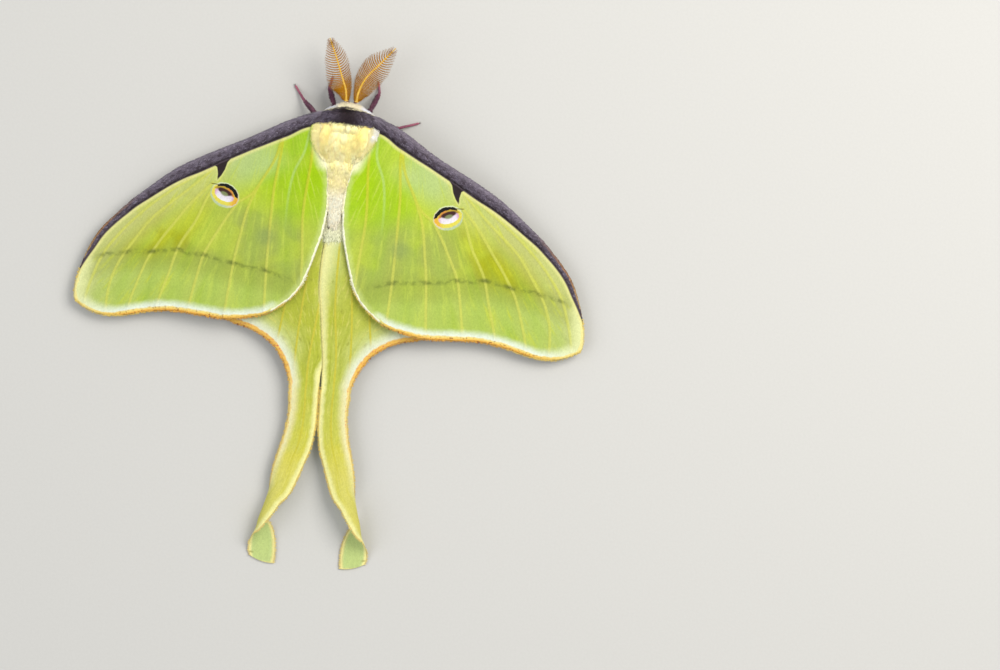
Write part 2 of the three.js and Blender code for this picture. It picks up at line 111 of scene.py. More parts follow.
# ---- Markings of a forewing, drawn for the right side ----
VEINS = [
    [(9.6, 1.2), (10.6, -4.2), (12.5, -8.2), (14.0, -10.7), (16.0, -12.2)],
    [(12.9, -9.0), (14.5, -13.2), (15.4, -18.2), (16.0, -22.2), (16.7, -29.8), (16.9, -31.6)],
    [(16.2, -12.4), (17.6, -14.6), (19.5, -18.1), (21.1, -21.5), (21.9, -25), (22.7, -29.5), (22.9, -31.3)],
    [(20.6, -10.6), (21.5, -12.1), (23.0, -16.1), (25.4, -20.5), (26.7, -25), (28.2, -30), (28.5, -31.4)],
    [(20.8, -9.6), (23.9, -13.0), (26.4, -16.5), (28.9, -20), (31.2, -24), (33.2, -30), (33.5, -32.4)],
    [(17.5, -3.8), (24.5, -10.8), (30.4, -16), (33.4, -20), (35.9, -24), (37.2, -28), (37.5, -32.9)],
    [(20.8, -6.6), (29.0, -12.4), (34.6, -17.4), (38.4, -22.4), (40.3, -27.4), (41.3, -31.9)],
    [(9.85, -0.6), (9.85, -3.5), (10.4, -9), (10.5, -15), (10.45, -23), (10.2, -29), (10.1, -30.3)],
    [(4.6, 0.8), (4.75, -5), (5.2, -13), (4.7, -20), (4.45, -24.6)],
]
FOLDS = [
    [(5.7, 0.6), (6.0, -3), (7.5, -7), (8.0, -13), (7.7, -24), (7.6, -28.4)],
    [(13.3, -14), (13.4, -30.6)],
    [(18.8, -20), (19.6, -31)],
    [(24.3, -21), (25.3, -31)],
    [(30.1, -22), (30.9, -31.4)],
]
POSTMEDIAL = [
    (4.6, -24.6), (7.4, -24.1), (10.4, -23.1), (13.4, -22.9), (16.4, -22.4), (18.6, -22.2), (21.4, -21.5),
    (23.4, -21.7), (25.4, -21.1), (27.4, -21.4), (30.4, -21.9), (33.4, -22.1), (36.4, -22.8),
    (38.4, -23.1), (40.0, -23.9),
]
STALK = [
    (17.7, -4.6), (18.7, -6.0), (19.0, -7.2), (19.5, -8.2), (20.1, -9.0), (20.05, -8.0), (20.3, -6.9),
    (21.2, -6.4),
]
EYESPOT = (18.55, -11.35)
EYESPOT_TILT = math.radians(22)
HIDDEN_SPOT = (11.2, -17.6)  # the hindwing's own eyespot shows faintly through the forewing
FAN_POLE = (11.0, 9.0)  # the veins spread from about here
HIND_VEINS = [
    [(2.8, -5.5), (7.5, -14), (14, -22), (18.6, -30.6)],
    [(2.6, -6), (6, -15), (9.5, -24), (12.6, -32.6)],
    [(2.4, -7), (4.6, -16), (6.6, -26), (8.0, -35.6)],
    [(2.0, -8), (3.1, -18), (4.2, -29), (4.6, -38), (4.0, TAIL_START_Y)],
    [(1.2, -16), (1.3, -27), (2.2, -36), (2.3, TAIL_START_Y)],
]


# ---- Curves and fields ----
def smoothstep(value, low, high):
    share = np.clip((np.asarray(value, float) - low) / (high - low), 0, 1)
    return share * share * (3 - 2 * share)


def lerp(a, b, share):
    return a + (b - a) * share


def through(rows):
    """A smooth curve through rows of any width: gives the row, or rows, at share t."""
    rows = np.asarray(rows, float)
    last = len(rows) - 1

    def curve(t):
        place = np.clip(np.asarray(t, float), 0, 1) * last
        i = np.minimum(np.floor(place).astype(int), last - 1)
        f = (place - i)[..., None]
        a, b, c, e = (rows[np.clip(i + k, 0, last)] for k in (-1, 0, 1, 2))
        return b + 0.5 * f * (c - a + f * (2 * a - 5 * b + 4 * c - e + f * (3 * (b - c) + e - a)))

    return curve


def evenly(rows):
    """The same curve with t spread evenly over its length in the plan."""
    curve = through(rows)
    shares = np.linspace(0, 1, 12 * len(rows) + 1)
    points = curve(shares)[:, :2]
    lengths = np.concatenate([[0], np.cumsum(np.linalg.norm(np.diff(points, axis=0), axis=1))])
    return lambda t: curve(np.interp(np.clip(t, 0, 1) * lengths[-1], lengths, shares))


def beside(curve, t, distance):
    """Points of a plan curve, moved to the right of its direction of travel."""
    ahead = curve(np.asarray(t) + 0.01)[..., :2] - curve(np.asarray(t) - 0.01)[..., :2]
    ahead /= np.linalg.norm(ahead, axis=-1, keepdims=True)
    right = np.stack([ahead[..., 1], -ahead[..., 0]], -1)
    return curve(t)[..., :2] + right * np.asarray(distance)[..., None]


def nearest(points, line):
    """From each plan point to a polyline: the distance, and the share of the line's length there."""
    line = np.asarray(line, float)
    steps = np.linalg.norm(np.diff(line, axis=0), axis=1)
    gap = np.full(len(points), 1e9)
    share = np.zeros(len(points))
    walked = 0.0
    for start, end, step in zip(line[:-1], line[1:], steps):
        along = np.clip((points - start) @ (end - start) / step ** 2, 0, 1)
        distance = np.linalg.norm(points - start - along[:, None] * (end - start), axis=1)
        closer = distance < gap
        gap[closer] = distance[closer]
        share[closer] = walked + along[closer] * step
        walked += step
    return gap, share / walked


def encloses(outline, points):
    """Which plan points lie inside a closed outline."""
    inside = np.zeros(len(points), bool)
    for (x0, y0), (x1, y1) in zip(outline, np.roll(outline, -1, axis=0)):
        if y0 == y1:
            continue
        crossing = x0 + (points[:, 1] - y0) / (y1 - y0) * (x1 - x0)
        inside ^= ((y0 > points[:, 1]) != (y1 > points[:, 1])) & (points[:, 0] < crossing)
    return inside


def nearest_of(points, lines):
    """The distance to the nearest of several smooth lines."""
    shares = np.linspace(0, 1, 40)
    return np.min([nearest(points, through(line)(shares))[0] for line in lines], axis=0)


def turned(points):
    """The front of the body bends gently to the right."""
    points = np.array(points, float)
    points[..., 0] += HEAD_TURN * smoothstep(points[..., 1], -3, 5)
    return points


def swung(points, angle, pivot=(0, 0)):
    """Points turned round an upright axis."""
    points = np.array(points, float)
    x, y = points[..., 0] - pivot[0], points[..., 1] - pivot[1]
    points[..., 0] = pivot[0] + x * math.cos(angle) - y * math.sin(angle)
    points[..., 1] = pivot[1] + x * math.sin(angle) + y * math.cos(angle)
    return points


def unit(vectors):
    return vectors / np.maximum(np.linalg.norm(vectors, axis=-1, keepdims=True), 1e-9)


def upright(count):
    """Directions that all point to the sky."""
    return np.tile((0.0, 0.0, 1.0), (count, 1))


def angles_round(count):
    """Angles spread evenly round a circle."""
    return np.arange(count) * 2 * math.pi / count


# ---- Meshes ----
def make_piece(name, points, faces, material, uv, fields=None):
    """A mesh piece from points in body millimetres. Its faces all have the same number of corners, uv
    holds their places on the bake map, and fields are numbers at the points for the material."""
    faces = np.asarray(faces, np.int32)
    mesh = bpy.data.meshes.new(name)
    mesh.vertices.add(len(points))
    mesh.vertices.foreach_set("co", ((np.asarray(points, float) + ORIGIN) * MM).astype(np.float32).ravel())
    mesh.loops.add(faces.size)
    mesh.loops.foreach_set("vertex_index", faces.ravel())
    mesh.polygons.add(len(faces))
    mesh.polygons.foreach_set("loop_start", np.arange(0, faces.size, faces.shape[1], dtype=np.int32))
    mesh.polygons.foreach_set("use_smooth", np.ones(len(faces), bool))
    mesh.update(calc_edges=True)
    layer = mesh.uv_layers.new(name="OFBake")
    layer.data.foreach_set("uv", np.asarray(uv, np.float32).reshape(-1))
    for field, values in (fields or {}).items():
        values = np.asarray(values, np.float32)
        kind = "FLOAT_VECTOR" if values.ndim == 2 else "FLOAT"
        attribute = mesh.attributes.new(field, kind, "POINT")
        attribute.data.foreach_set("vector" if values.ndim == 2 else "value", values.ravel())
    mesh.materials.append(material)
    piece = bpy.data.objects.new(name, mesh)
    bpy.context.scene.collection.objects.link(piece)
    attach(piece, "root")
    return piece


def grid_faces(rows, columns, closed=False):
    """Quads between rows of points that all have the same number of columns."""
    across = columns if closed else columns - 1
    r, c = np.meshgrid(np.arange(rows - 1), np.arange(across), indexing="ij")
    a = r * columns + c
    b = r * columns + (c + 1) % columns
    return np.stack([a, b, b + columns, a + columns], -1).reshape(-1, 4)


def halved(quads):
    """Two triangles for each quad, or for the corners of each quad."""
    return np.concatenate([quads[:, [0, 1, 2]], quads[:, [0, 2, 3]]])


# ---- Node graphs ----
def paint(code):
    """A colour written as six hex digits, as the shader's linear values."""
    values = [int(code[i:i + 2], 16) / 255 for i in (0, 2, 4)]
    return tuple(v / 12.92 if v <= 0.04045 else ((v + 0.055) / 1.055) ** 2.4 for v in values) + (1.0,)


class Graph:
    """A node tree being drawn, with a short call for each kind of node that is used here."""

    def __init__(self, tree):
        self.tree = tree

    def feed(self, socket, value):
        """Links a socket, or sets it; six hex digits stand for a colour."""
        if isinstance(value, bpy.types.NodeSocket):
            self.tree.links.new(value, socket)
        else:
            socket.default_value = paint(value) if isinstance(value, str) else value

    def node(self, kind, inputs=None, **settings):
        made = self.tree.nodes.new(kind)
        for setting, value in settings.items():
            setattr(made, setting, value)
        for socket, value in (inputs or {}).items():
            self.feed(made.inputs[socket], value)
        return made

    def maths(self, operation, *values):
        made = self.node("ShaderNodeMath", operation=operation)
        for socket, value in zip(made.inputs, values):
            self.feed(socket, value)
        return made.outputs[0]

    def times(self, first, *others):
        """The product of values or masks."""
        for other in others:
            first = self.maths("MULTIPLY", first, other)
        return first

    def stretched(self, place, scales):
        return self.node("ShaderNodeVectorMath", {0: place, 1: scales}, operation="MULTIPLY").outputs[0]

    def combine(self, x, y, z=0.0):
        return self.node("ShaderNodeCombineXYZ", {"X": x, "Y": y, "Z": z}).outputs[0]

    def separate(self, vector):
        return self.node("ShaderNodeSeparateXYZ", {0: vector}).outputs

    def mix(self, share, first, second, blend="MIX"):
        made = self.node("ShaderNodeMix", data_type="RGBA", blend_type=blend)
        for socket, value in zip((0, 6, 7), (share, first, second)):
            self.feed(made.inputs[socket], value)
        return made.outputs[2]

    def tint(self, colour, mask, tone, share=None):
        """Lays a tone over a colour where a mask says, and only at a share of its strength."""
        return self.mix(mask if share is None else self.times(mask, share), colour, tone)

    def rise(self, value, start, end, low=0.0, high=1.0):
        """Goes smoothly from low to high as the value passes from start to end."""
        limits = {"Value": value, "From Min": start, "From Max": end, "To Min": low, "To Max": high}
        return self.node("ShaderNodeMapRange", limits, interpolation_type="SMOOTHSTEP").outputs[0]

    def fall(self, value, start, end):
        return self.rise(value, start, end, 1.0, 0.0)

    def hump(self, value, start, full, fading, end):
        """1 from full to fading, 0 before start and after end."""
        return self.times(self.rise(value, start, full), self.fall(value, fading, end))

    def noise(self, place, scale, detail=2.0, roughness=0.5):
        settings = {"Vector": place, "Scale": scale, "Detail": detail, "Roughness": roughness}
        return self.node("ShaderNodeTexNoise", settings).outputs[0]

    def wavered(self, value, place, scale, spread):
        """A value that wavers from place to place, by half the spread either way."""
        waver = self.maths("MULTIPLY_ADD", self.noise(place, scale), spread, -spread / 2)
        return self.maths("ADD", value, waver)

    def cells(self, place, scale):
        return self.node("ShaderNodeTexVoronoi", {"Vector": place, "Scale": scale}).outputs

    def field(self, name, output="Fac"):
        return self.node("ShaderNodeAttribute", attribute_name=name).outputs[output]

    def place(self):
        """The surface's own place, in millimetres."""
        own = self.node("ShaderNodeTexCoord").outputs["Object"]
        return self.stretched(own, (1 / MM, 1 / MM, 1 / MM))

    def group(self, tree, inputs):
        made = self.node("ShaderNodeGroup", node_tree=tree)
        for socket, value in inputs.items():
            self.feed(made.inputs[socket], value)
        return made.outputs


SOCKETS = {"value": "NodeSocketFloat", "colour": "NodeSocketColor", "vector": "NodeSocketVector"}


def new_group(name, inputs, outputs):
    """A shader node group with named sockets: gives its tree, a Graph to draw it with, and both ends."""
    tree = bpy.data.node_groups.new(name, "ShaderNodeTree")
    for direction, sockets in (("INPUT", inputs), ("OUTPUT", outputs)):
        for socket, kind in sockets.items():
            tree.interface.new_socket(socket, in_out=direction, socket_type=SOCKETS[kind])
    graph = Graph(tree)
    return tree, graph, graph.node("NodeGroupInput").outputs, graph.node("NodeGroupOutput")


def new_material(name, roughness=0.6, **sockets):
    """A material with one Principled shader; sockets are values that hold for the whole surface."""
    material = bpy.data.materials.new(name)
    material.use_nodes = True
    graph = Graph(material.node_tree)
    material.node_tree.nodes.clear()
    shader = graph.node("ShaderNodeBsdfPrincipled", {"Roughness": roughness})
    for socket, value in sockets.items():
        shader.inputs[socket.replace("_", " ")].default_value = value
    graph.node("ShaderNodeOutputMaterial", {"Surface": shader.outputs[0]})
    return material, graph, shader


def add_bump(graph, shader, height, strength, depth):
    """Lets a height, from 0 to 1, raise the surface by depth in millimetres."""
    bump = graph.node("ShaderNodeBump", {"Height": height, "Strength": strength, "Distance": depth * MM})
    graph.feed(shader.inputs["Normal"], bump.outputs[0])


# ---- Shared effects ----
def make_scale_grain():
    """The fine overlapping scales of wings and thick veins."""
    tree, graph, given, out = new_group(
        "wing_scales",
        {"Place": "vector", "Colour": "colour", "Scales per mm": "value", "Contrast": "value"},
        {"Colour": "colour", "Height": "value"},
    )
    drawn_out = graph.stretched(given["Place"], (1.0, 0.6, 1.0))
    cells = graph.cells(drawn_out, given["Scales per mm"])
    tone = graph.separate(cells["Color"])[0]
    shade = graph.maths("SUBTRACT", 1.0, graph.times(graph.maths("SUBTRACT", 1.0, tone), given["Contrast"]))
    grey = graph.node("ShaderNodeCombineColor", {0: shade, 1: shade, 2: shade}).outputs[0]
    graph.feed(out.inputs["Colour"], graph.mix(1.0, given["Colour"], grey, "MULTIPLY"))
    graph.feed(out.inputs["Height"], graph.fall(cells["Distance"], 0.0, 0.8))
    return tree


def make_edge_bands():
    """A coloured line along an edge, freckled, with a paler band behind it that fades inwards."""
    tree, graph, given, out = new_group(
        "edge_bands",
        {
            "Place": "vector", "Colour": "colour", "From edge": "value", "Line": "colour",
            "Line width": "value", "Band": "colour", "Band width": "value", "Band strength": "value",
            "Freckle": "colour", "Freckles": "value",
        },
        {"Colour": "colour"},
    )
    place, width = given["Place"], given["Line width"]
    distance = graph.wavered(given["From edge"], place, 1.1, 0.5)
    band = graph.fall(distance, width, graph.maths("ADD", width, given["Band width"]))
    colour = graph.tint(given["Colour"], band, given["Band"], given["Band strength"])
    line = graph.fall(distance, graph.times(width, 0.8), graph.times(width, 1.25))
    colour = graph.tint(colour, line, given["Line"])
    spots = graph.rise(graph.noise(place, 3.6, 3.0), 0.56, 0.68)
    freckles = graph.times(spots, line, given["Freckles"])
    graph.feed(out.inputs["Colour"], graph.tint(colour, freckles, given["Freckle"]))
    return tree


def make_streaks():
    """Soft streaks that run lengthwise, with a place given as [across, along] in millimetres."""
    tree, graph, given, out = new_group(
        "lengthwise_streaks",
        {
            "Across": "value", "Along": "value", "Per mm": "value", "Colour": "colour",
            "Dark": "colour", "Light": "colour", "Amount": "value",
        },
        {"Colour": "colour", "Height": "value"},
    )
    flow = graph.combine(given["Across"], graph.times(given["Along"], 0.07))
    wide = graph.noise(flow, given["Per mm"], 3.0, 0.6)
    fine = graph.noise(flow, graph.times(given["Per mm"], 4.5), 2.0, 0.6)
    colour = graph.tint(given["Colour"], graph.rise(wide, 0.5, 0.75), given["Dark"], given["Amount"])
    colour = graph.tint(colour, graph.rise(fine, 0.5, 0.75), given["Light"], given["Amount"])
    graph.feed(out.inputs["Colour"], colour)
    graph.feed(out.inputs["Height"], fine)
    return tree


def make_vein_lines():
    """Veins as raised pale lines, which waver a little."""
    tree, graph, given, out = new_group(
        "vein_lines",
        {
            "Place": "vector", "Colour": "colour", "Distance": "value", "Vein": "colour",
            "Width": "value", "Strength": "value",
        },
        {"Colour": "colour", "Height": "value"},
    )
    distance = graph.wavered(given["Distance"], given["Place"], 2.0, 0.1)
    half = graph.times(given["Width"], 0.5)
    line = graph.fall(distance, graph.times(half, 0.35), half)
    graph.feed(out.inputs["Colour"], graph.tint(given["Colour"], line, given["Vein"], given["Strength"]))
    graph.feed(out.inputs["Height"], line)
    return tree


def make_hair_tone():
    """Each tuft's tone: darker towards its root, a painted shade deep in the coat, paler at its tip, and
    different from its neighbour.
    """
    tree, graph, given, out = new_group(
        "hair_tone",
        {"Colour": "colour", "Along": "value", "Strand": "value", "Depth": "value", "Variety": "value"},
        {"Colour": "colour"},
    )
    # painted shade deep in the coat: each tuft darkens towards its root
    root = graph.times(graph.fall(given["Along"], 0.0, 0.75), given["Depth"])
    swing = graph.times(graph.maths("SUBTRACT", given["Strand"], 0.5), given["Variety"])
    value = graph.maths("SUBTRACT", graph.maths("ADD", 1.0, swing), root)
    hue = graph.maths("MULTIPLY_ADD", swing, 0.06, 0.5)
    toned = graph.node("ShaderNodeHueSaturation", {"Hue": hue, "Value": value, "Color": given["Colour"]})
    graph.feed(out.inputs["Colour"], toned.outputs[0])
    return tree


SCALES = make_scale_grain()
EDGE_BANDS = make_edge_bands()
STREAKS = make_streaks()
VEIN_LINES = make_vein_lines()
HAIR_TONE = make_hair_tone()


# ---- Materials of the wings ----
MEMBRANE = {"Sheen_Weight": 0.03, "Sheen_Roughness": 0.5, "Specular_IOR_Level": 0.15}
WING_SCALES = {"Scales per mm": 7.0, "Contrast": 0.14}
SPOT_RISE = 0.5  # how far an eyespot stands above the wing, as a share of the bump's depth


def draw_eyespot(graph, colour, place):
    """A forewing's eyespot: a pale ring, a yellow one, a black brow, and a pink crescent under a slit.
    Gives the colour and the eyespot's height."""
    across, up = graph.field("spot_across"), graph.field("spot_up")
    waver = graph.maths("MULTIPLY_ADD", graph.noise(place, 2.5), 0.16, -0.08)

    def oval(x, y, wide, tall):
        """0 at an oval's centre, 1 on its outline."""
        dx = graph.maths("DIVIDE", graph.maths("SUBTRACT", across, x), wide)
        dy = graph.maths("DIVIDE", graph.maths("SUBTRACT", up, y), tall)
        square = graph.maths("ADD", graph.times(dx, dx), graph.times(dy, dy))
        return graph.maths("ADD", graph.maths("SQRT", square), waver)

    def outline(*shape):
        return graph.fall(oval(*shape), 0.97, 1.03)

    def between(outer, inner):
        """The part of one mask that lies outside another."""
        return graph.times(outer, graph.maths("SUBTRACT", 1.0, inner))

    rim = graph.fall(oval(0.0, -0.08, 2.5, 2.02), 0.94, 1.05)
    pale = graph.mix(graph.rise(up, -0.4, 0.8), "a8b68e", "c2cba0")
    pale = graph.tint(pale, graph.fall(across, -2.2, -0.6), "c3b99b")
    colour = graph.mix(rim, colour, pale)
    ring = graph.fall(oval(0.0, -0.05, 2.36, 1.62), 0.96, 1.03)
    gold = graph.mix(graph.rise(across, -2.1, -1.0), "cf9d35", "cbc04b")
    colour = graph.mix(ring, colour, gold)
    inside = graph.fall(oval(0.08, -0.05, 1.76, 1.0), 0.94, 1.04)
    ends = graph.rise(graph.maths("ABSOLUTE", across), 1.1, 1.75)
    lilac = graph.mix(graph.fall(up, -0.9, 0.1), "cbc0cb", "d4d0d2")
    colour = graph.mix(inside, colour, graph.tint(lilac, ends, "b97f9b", 0.75))
    arc = between(outline(0.25, -0.2, 1.95, 1.46), outline(0.25, -0.22, 1.6, 1.0))
    amber = graph.times(arc, graph.rise(up, 0.1, 0.35))
    colour = graph.mix(amber, colour, graph.mix(graph.rise(across, -0.4, 0.5), "bf7f37", "aa8e2d"))
    slit = graph.fall(oval(0.22, 0.44, 1.5, 0.52), 0.72, 1.08)
    colour = graph.tint(colour, slit, "3a1e1c")
    glass = graph.fall(oval(0.15, 0.08, 0.85, 0.42), 0.5, 1.05)
    colour = graph.tint(colour, glass, "767f54", 0.9)
    brow = between(outline(-0.05, -0.1, 2.32, 1.86), outline(0.12, -0.64, 2.3, 1.82))
    brow = graph.times(brow, graph.rise(up, 0.3, 0.5), graph.fall(across, 1.7, 1.9))
    colour = graph.tint(colour, brow, "0a0b0c")
    tail = graph.maths("ADD", graph.maths("MULTIPLY_ADD", across, 0.33, -1.58), up)
    tail = graph.fall(graph.maths("ABSOLUTE", tail), 0.05, 0.13)
    tail = graph.times(tail, graph.rise(across, 1.4, 1.6), graph.fall(across, 2.7, 3.1))
    return graph.tint(colour, tail, "50431b", 0.8), graph.times(rim, SPOT_RISE)


def draw_forewing_ground(graph, place):
    """The green under all markings: vivid near the body, paler towards the front edge, milky towards
    the margin, and streaked along the wing. Gives the colour and the streaks' height."""
    fan, reach, line = graph.field("fan"), graph.field("reach"), graph.field("line")
    costa = graph.field("costa")
    colour = graph.mix(graph.rise(reach, 4.0, 20.0), "96b40c", "a2b42f")
    vivid = graph.times(graph.fall(fan, -1.0, 3.0), graph.fall(reach, 10.0, 26.0))
    colour = graph.tint(colour, vivid, "8bb103", 0.7)
    wedge = graph.times(graph.hump(fan, 4.0, 7.0, 9.0, 13.0), graph.rise(line, -2.0, 3.0))
    colour = graph.tint(colour, wedge, "adb526", 0.7)
    shade = graph.times(graph.hump(line, -4.0, 1.0, 7.0, 13.0), graph.rise(reach, 8.0, 15.0),
                        graph.rise(fan, 4.5, 8.0, 0.65, 0.85))
    colour = graph.tint(colour, shade, graph.mix(graph.rise(fan, 4.5, 8.0), "8c9350", "949600"))
    patches = graph.noise(place, 0.16, 2.0)
    colour = graph.tint(colour, graph.rise(patches, 0.42, 0.62, 0.0, 0.6), "adbb37")
    colour = graph.tint(colour, graph.rise(line, 1.0, -4.0, 0.0, 0.6), "9cac5e")
    front = graph.times(graph.fall(costa, 0.5, 7.5), graph.rise(reach, 5.0, 14.0))
    colour = graph.tint(colour, front, "b3b676", 0.8)
    mint = graph.times(graph.hump(reach, 6.0, 11.0, 14.0, 19.0), graph.fall(costa, 2.5, 7.0))
    colour = graph.tint(colour, mint, "a4bc86", 0.5)
    milky = graph.times(graph.rise(line, 0.8, -3.5), graph.fall(costa, 1.0, 14.0))
    colour = graph.tint(colour, milky, "aeb57d", 0.25)
    colour = graph.tint(colour, graph.rise(graph.field("vein"), 0.4, 2.2), "90ad44", 0.25)
    root = graph.times(graph.fall(reach, 8.0, 18.0), graph.rise(costa, 3.0, 8.0))
    colour = graph.tint(colour, root, "92b400", 0.85)
    low = graph.times(graph.hump(line, -4.5, -2.0, -0.5, 2.5), graph.rise(reach, 14.0, 18.0, 0.0, 0.35))
    colour = graph.tint(colour, low, "7c8436")
    light = graph.mix(graph.rise(fan, 4.5, 8.0), "b3c04c", "b5bb2e")
    streaks = graph.group(STREAKS, {
        "Across": fan, "Along": reach, "Per mm": 0.55, "Colour": colour,
        "Dark": "8aa622", "Light": light, "Amount": 0.55,
    })
    return streaks["Colour"], streaks["Height"]


def draw_forewing_lines(graph, colour, place):
    """Folds, veins and the broken line across the wing. Gives the colour and the veins' height."""
    reach, vein = graph.field("reach"), graph.field("vein")
    pleat = graph.times(graph.fall(graph.field("pleat"), 0.02, 0.35), graph.fall(reach, 8.0, 20.0))
    colour = graph.tint(colour, pleat, "a6c072", 0.55)
    near_root = graph.fall(reach, 6.0, 24.0)
    veins = graph.group(VEIN_LINES, {
        "Place": place, "Colour": colour, "Distance": vein,
        "Vein": graph.mix(near_root, "b9bb51", "b3b128"), "Width": 0.66, "Strength": 0.7,
    })
    broken = graph.rise(graph.noise(place, 1.3, 3.0), 0.36, 0.62)
    ink = graph.maths("MULTIPLY_ADD", graph.fall(vein, 0.2, 1.0), 0.35, graph.times(broken, 0.5))
    on_line = graph.fall(graph.maths("ABSOLUTE", graph.field("line")), 0.05, 0.6)
    ink = graph.times(ink, on_line, graph.field("line_shows"))
    colour = graph.tint(veins["Colour"], ink, "485420", 0.85)
    smudge = graph.fall(graph.field("hidden_spot"), 0.4, 2.3)
    return graph.tint(colour, smudge, "798a52", 0.45), veins["Height"]


def draw_forewing_edges(graph, colour, place):
    """The fringed margin, the pale inner edge, the front vein's stalk to the eyespot, and a dark strip
    beside the front vein that is partly its dark edge and partly painted shadow.
    """
    costa, margin = graph.field("costa"), graph.field("margin")
    at_angle = graph.rise(graph.field("margin_share"), 0.0, 0.25)
    mid = graph.times(at_angle, graph.fall(graph.field("margin_share"), 0.55, 0.8))
    outer_rim = graph.mix(graph.fall(margin, 0.25, 0.55), "dcc26a", "d6a044")
    at_tip = graph.rise(graph.field("margin_share"), 0.62, 0.9)
    fringe = graph.mix(mid, graph.mix(at_tip, "d9b858", "dccf86"), outer_rim)
    bands = graph.group(EDGE_BANDS, {
        "Place": place, "Colour": colour, "From edge": margin, "Line": fringe,
        "Line width": graph.maths("MULTIPLY_ADD", mid, 0.34, 0.4),
        "Band": graph.mix(at_tip, "d3dbcb", "cdd094"),
        "Band width": graph.maths("MULTIPLY_ADD", at_tip, 1.0, 1.5), "Band strength": 0.95,
        "Freckle": "864d26", "Freckles": mid,
    })
    edged = graph.group(EDGE_BANDS, {
        "Place": place, "Colour": bands["Colour"], "From edge": graph.field("inner"), "Line": "e6e4c6",
        "Line width": 0.34, "Band": "bbc779", "Band width": 1.1, "Band strength": 0.6,
        "Freckle": "d6c87f", "Freckles": 0.3,
    })
    cream = graph.fall(costa, 0.3, 0.9)
    colour = graph.tint(edged["Colour"], cream, "d2cd86", 0.75)
    stalk = graph.field("stalk")
    colour = graph.tint(colour, graph.fall(stalk, 0.12, 0.42), "c5c779", 0.7)
    colour = graph.tint(colour, graph.fall(stalk, -0.05, 0.12), "261d1e")
    # a dark strip just beside the front vein: partly its dark edge, partly painted shadow under it
    return graph.tint(colour, graph.fall(costa, 0.05, 0.3), "443940")


def make_forewing_material():
    """The forewings, painted in layers from the ground colour up to the wool at the body."""
    material, graph, shader = new_material("forewing_green", 0.72, **MEMBRANE)
    place = graph.place()
    colour, streak_height = draw_forewing_ground(graph, place)
    colour, vein_height = draw_forewing_lines(graph, colour, place)
    colour = draw_forewing_edges(graph, colour, place)
    colour, spot_height = draw_eyespot(graph, colour, place)
    wool = graph.fall(graph.field("body_gap"), 0.2, 2.1)
    colour = graph.tint(colour, wool, "e3dfb5", 0.9)
    grain = graph.group(SCALES, {"Place": place, "Colour": colour, **WING_SCALES})
    duller = graph.tint(grain["Colour"], graph.field("underside"), "b6c584", 0.35)
    graph.feed(shader.inputs["Base Color"], duller)
    height = graph.maths("MULTIPLY_ADD", vein_height, 1.2, graph.times(grain["Height"], 0.35))
    height = graph.maths("ADD", height, graph.times(streak_height, 0.5))
    add_bump(graph, shader, graph.maths("ADD", height, spot_height), 0.5, 0.05)
    return material


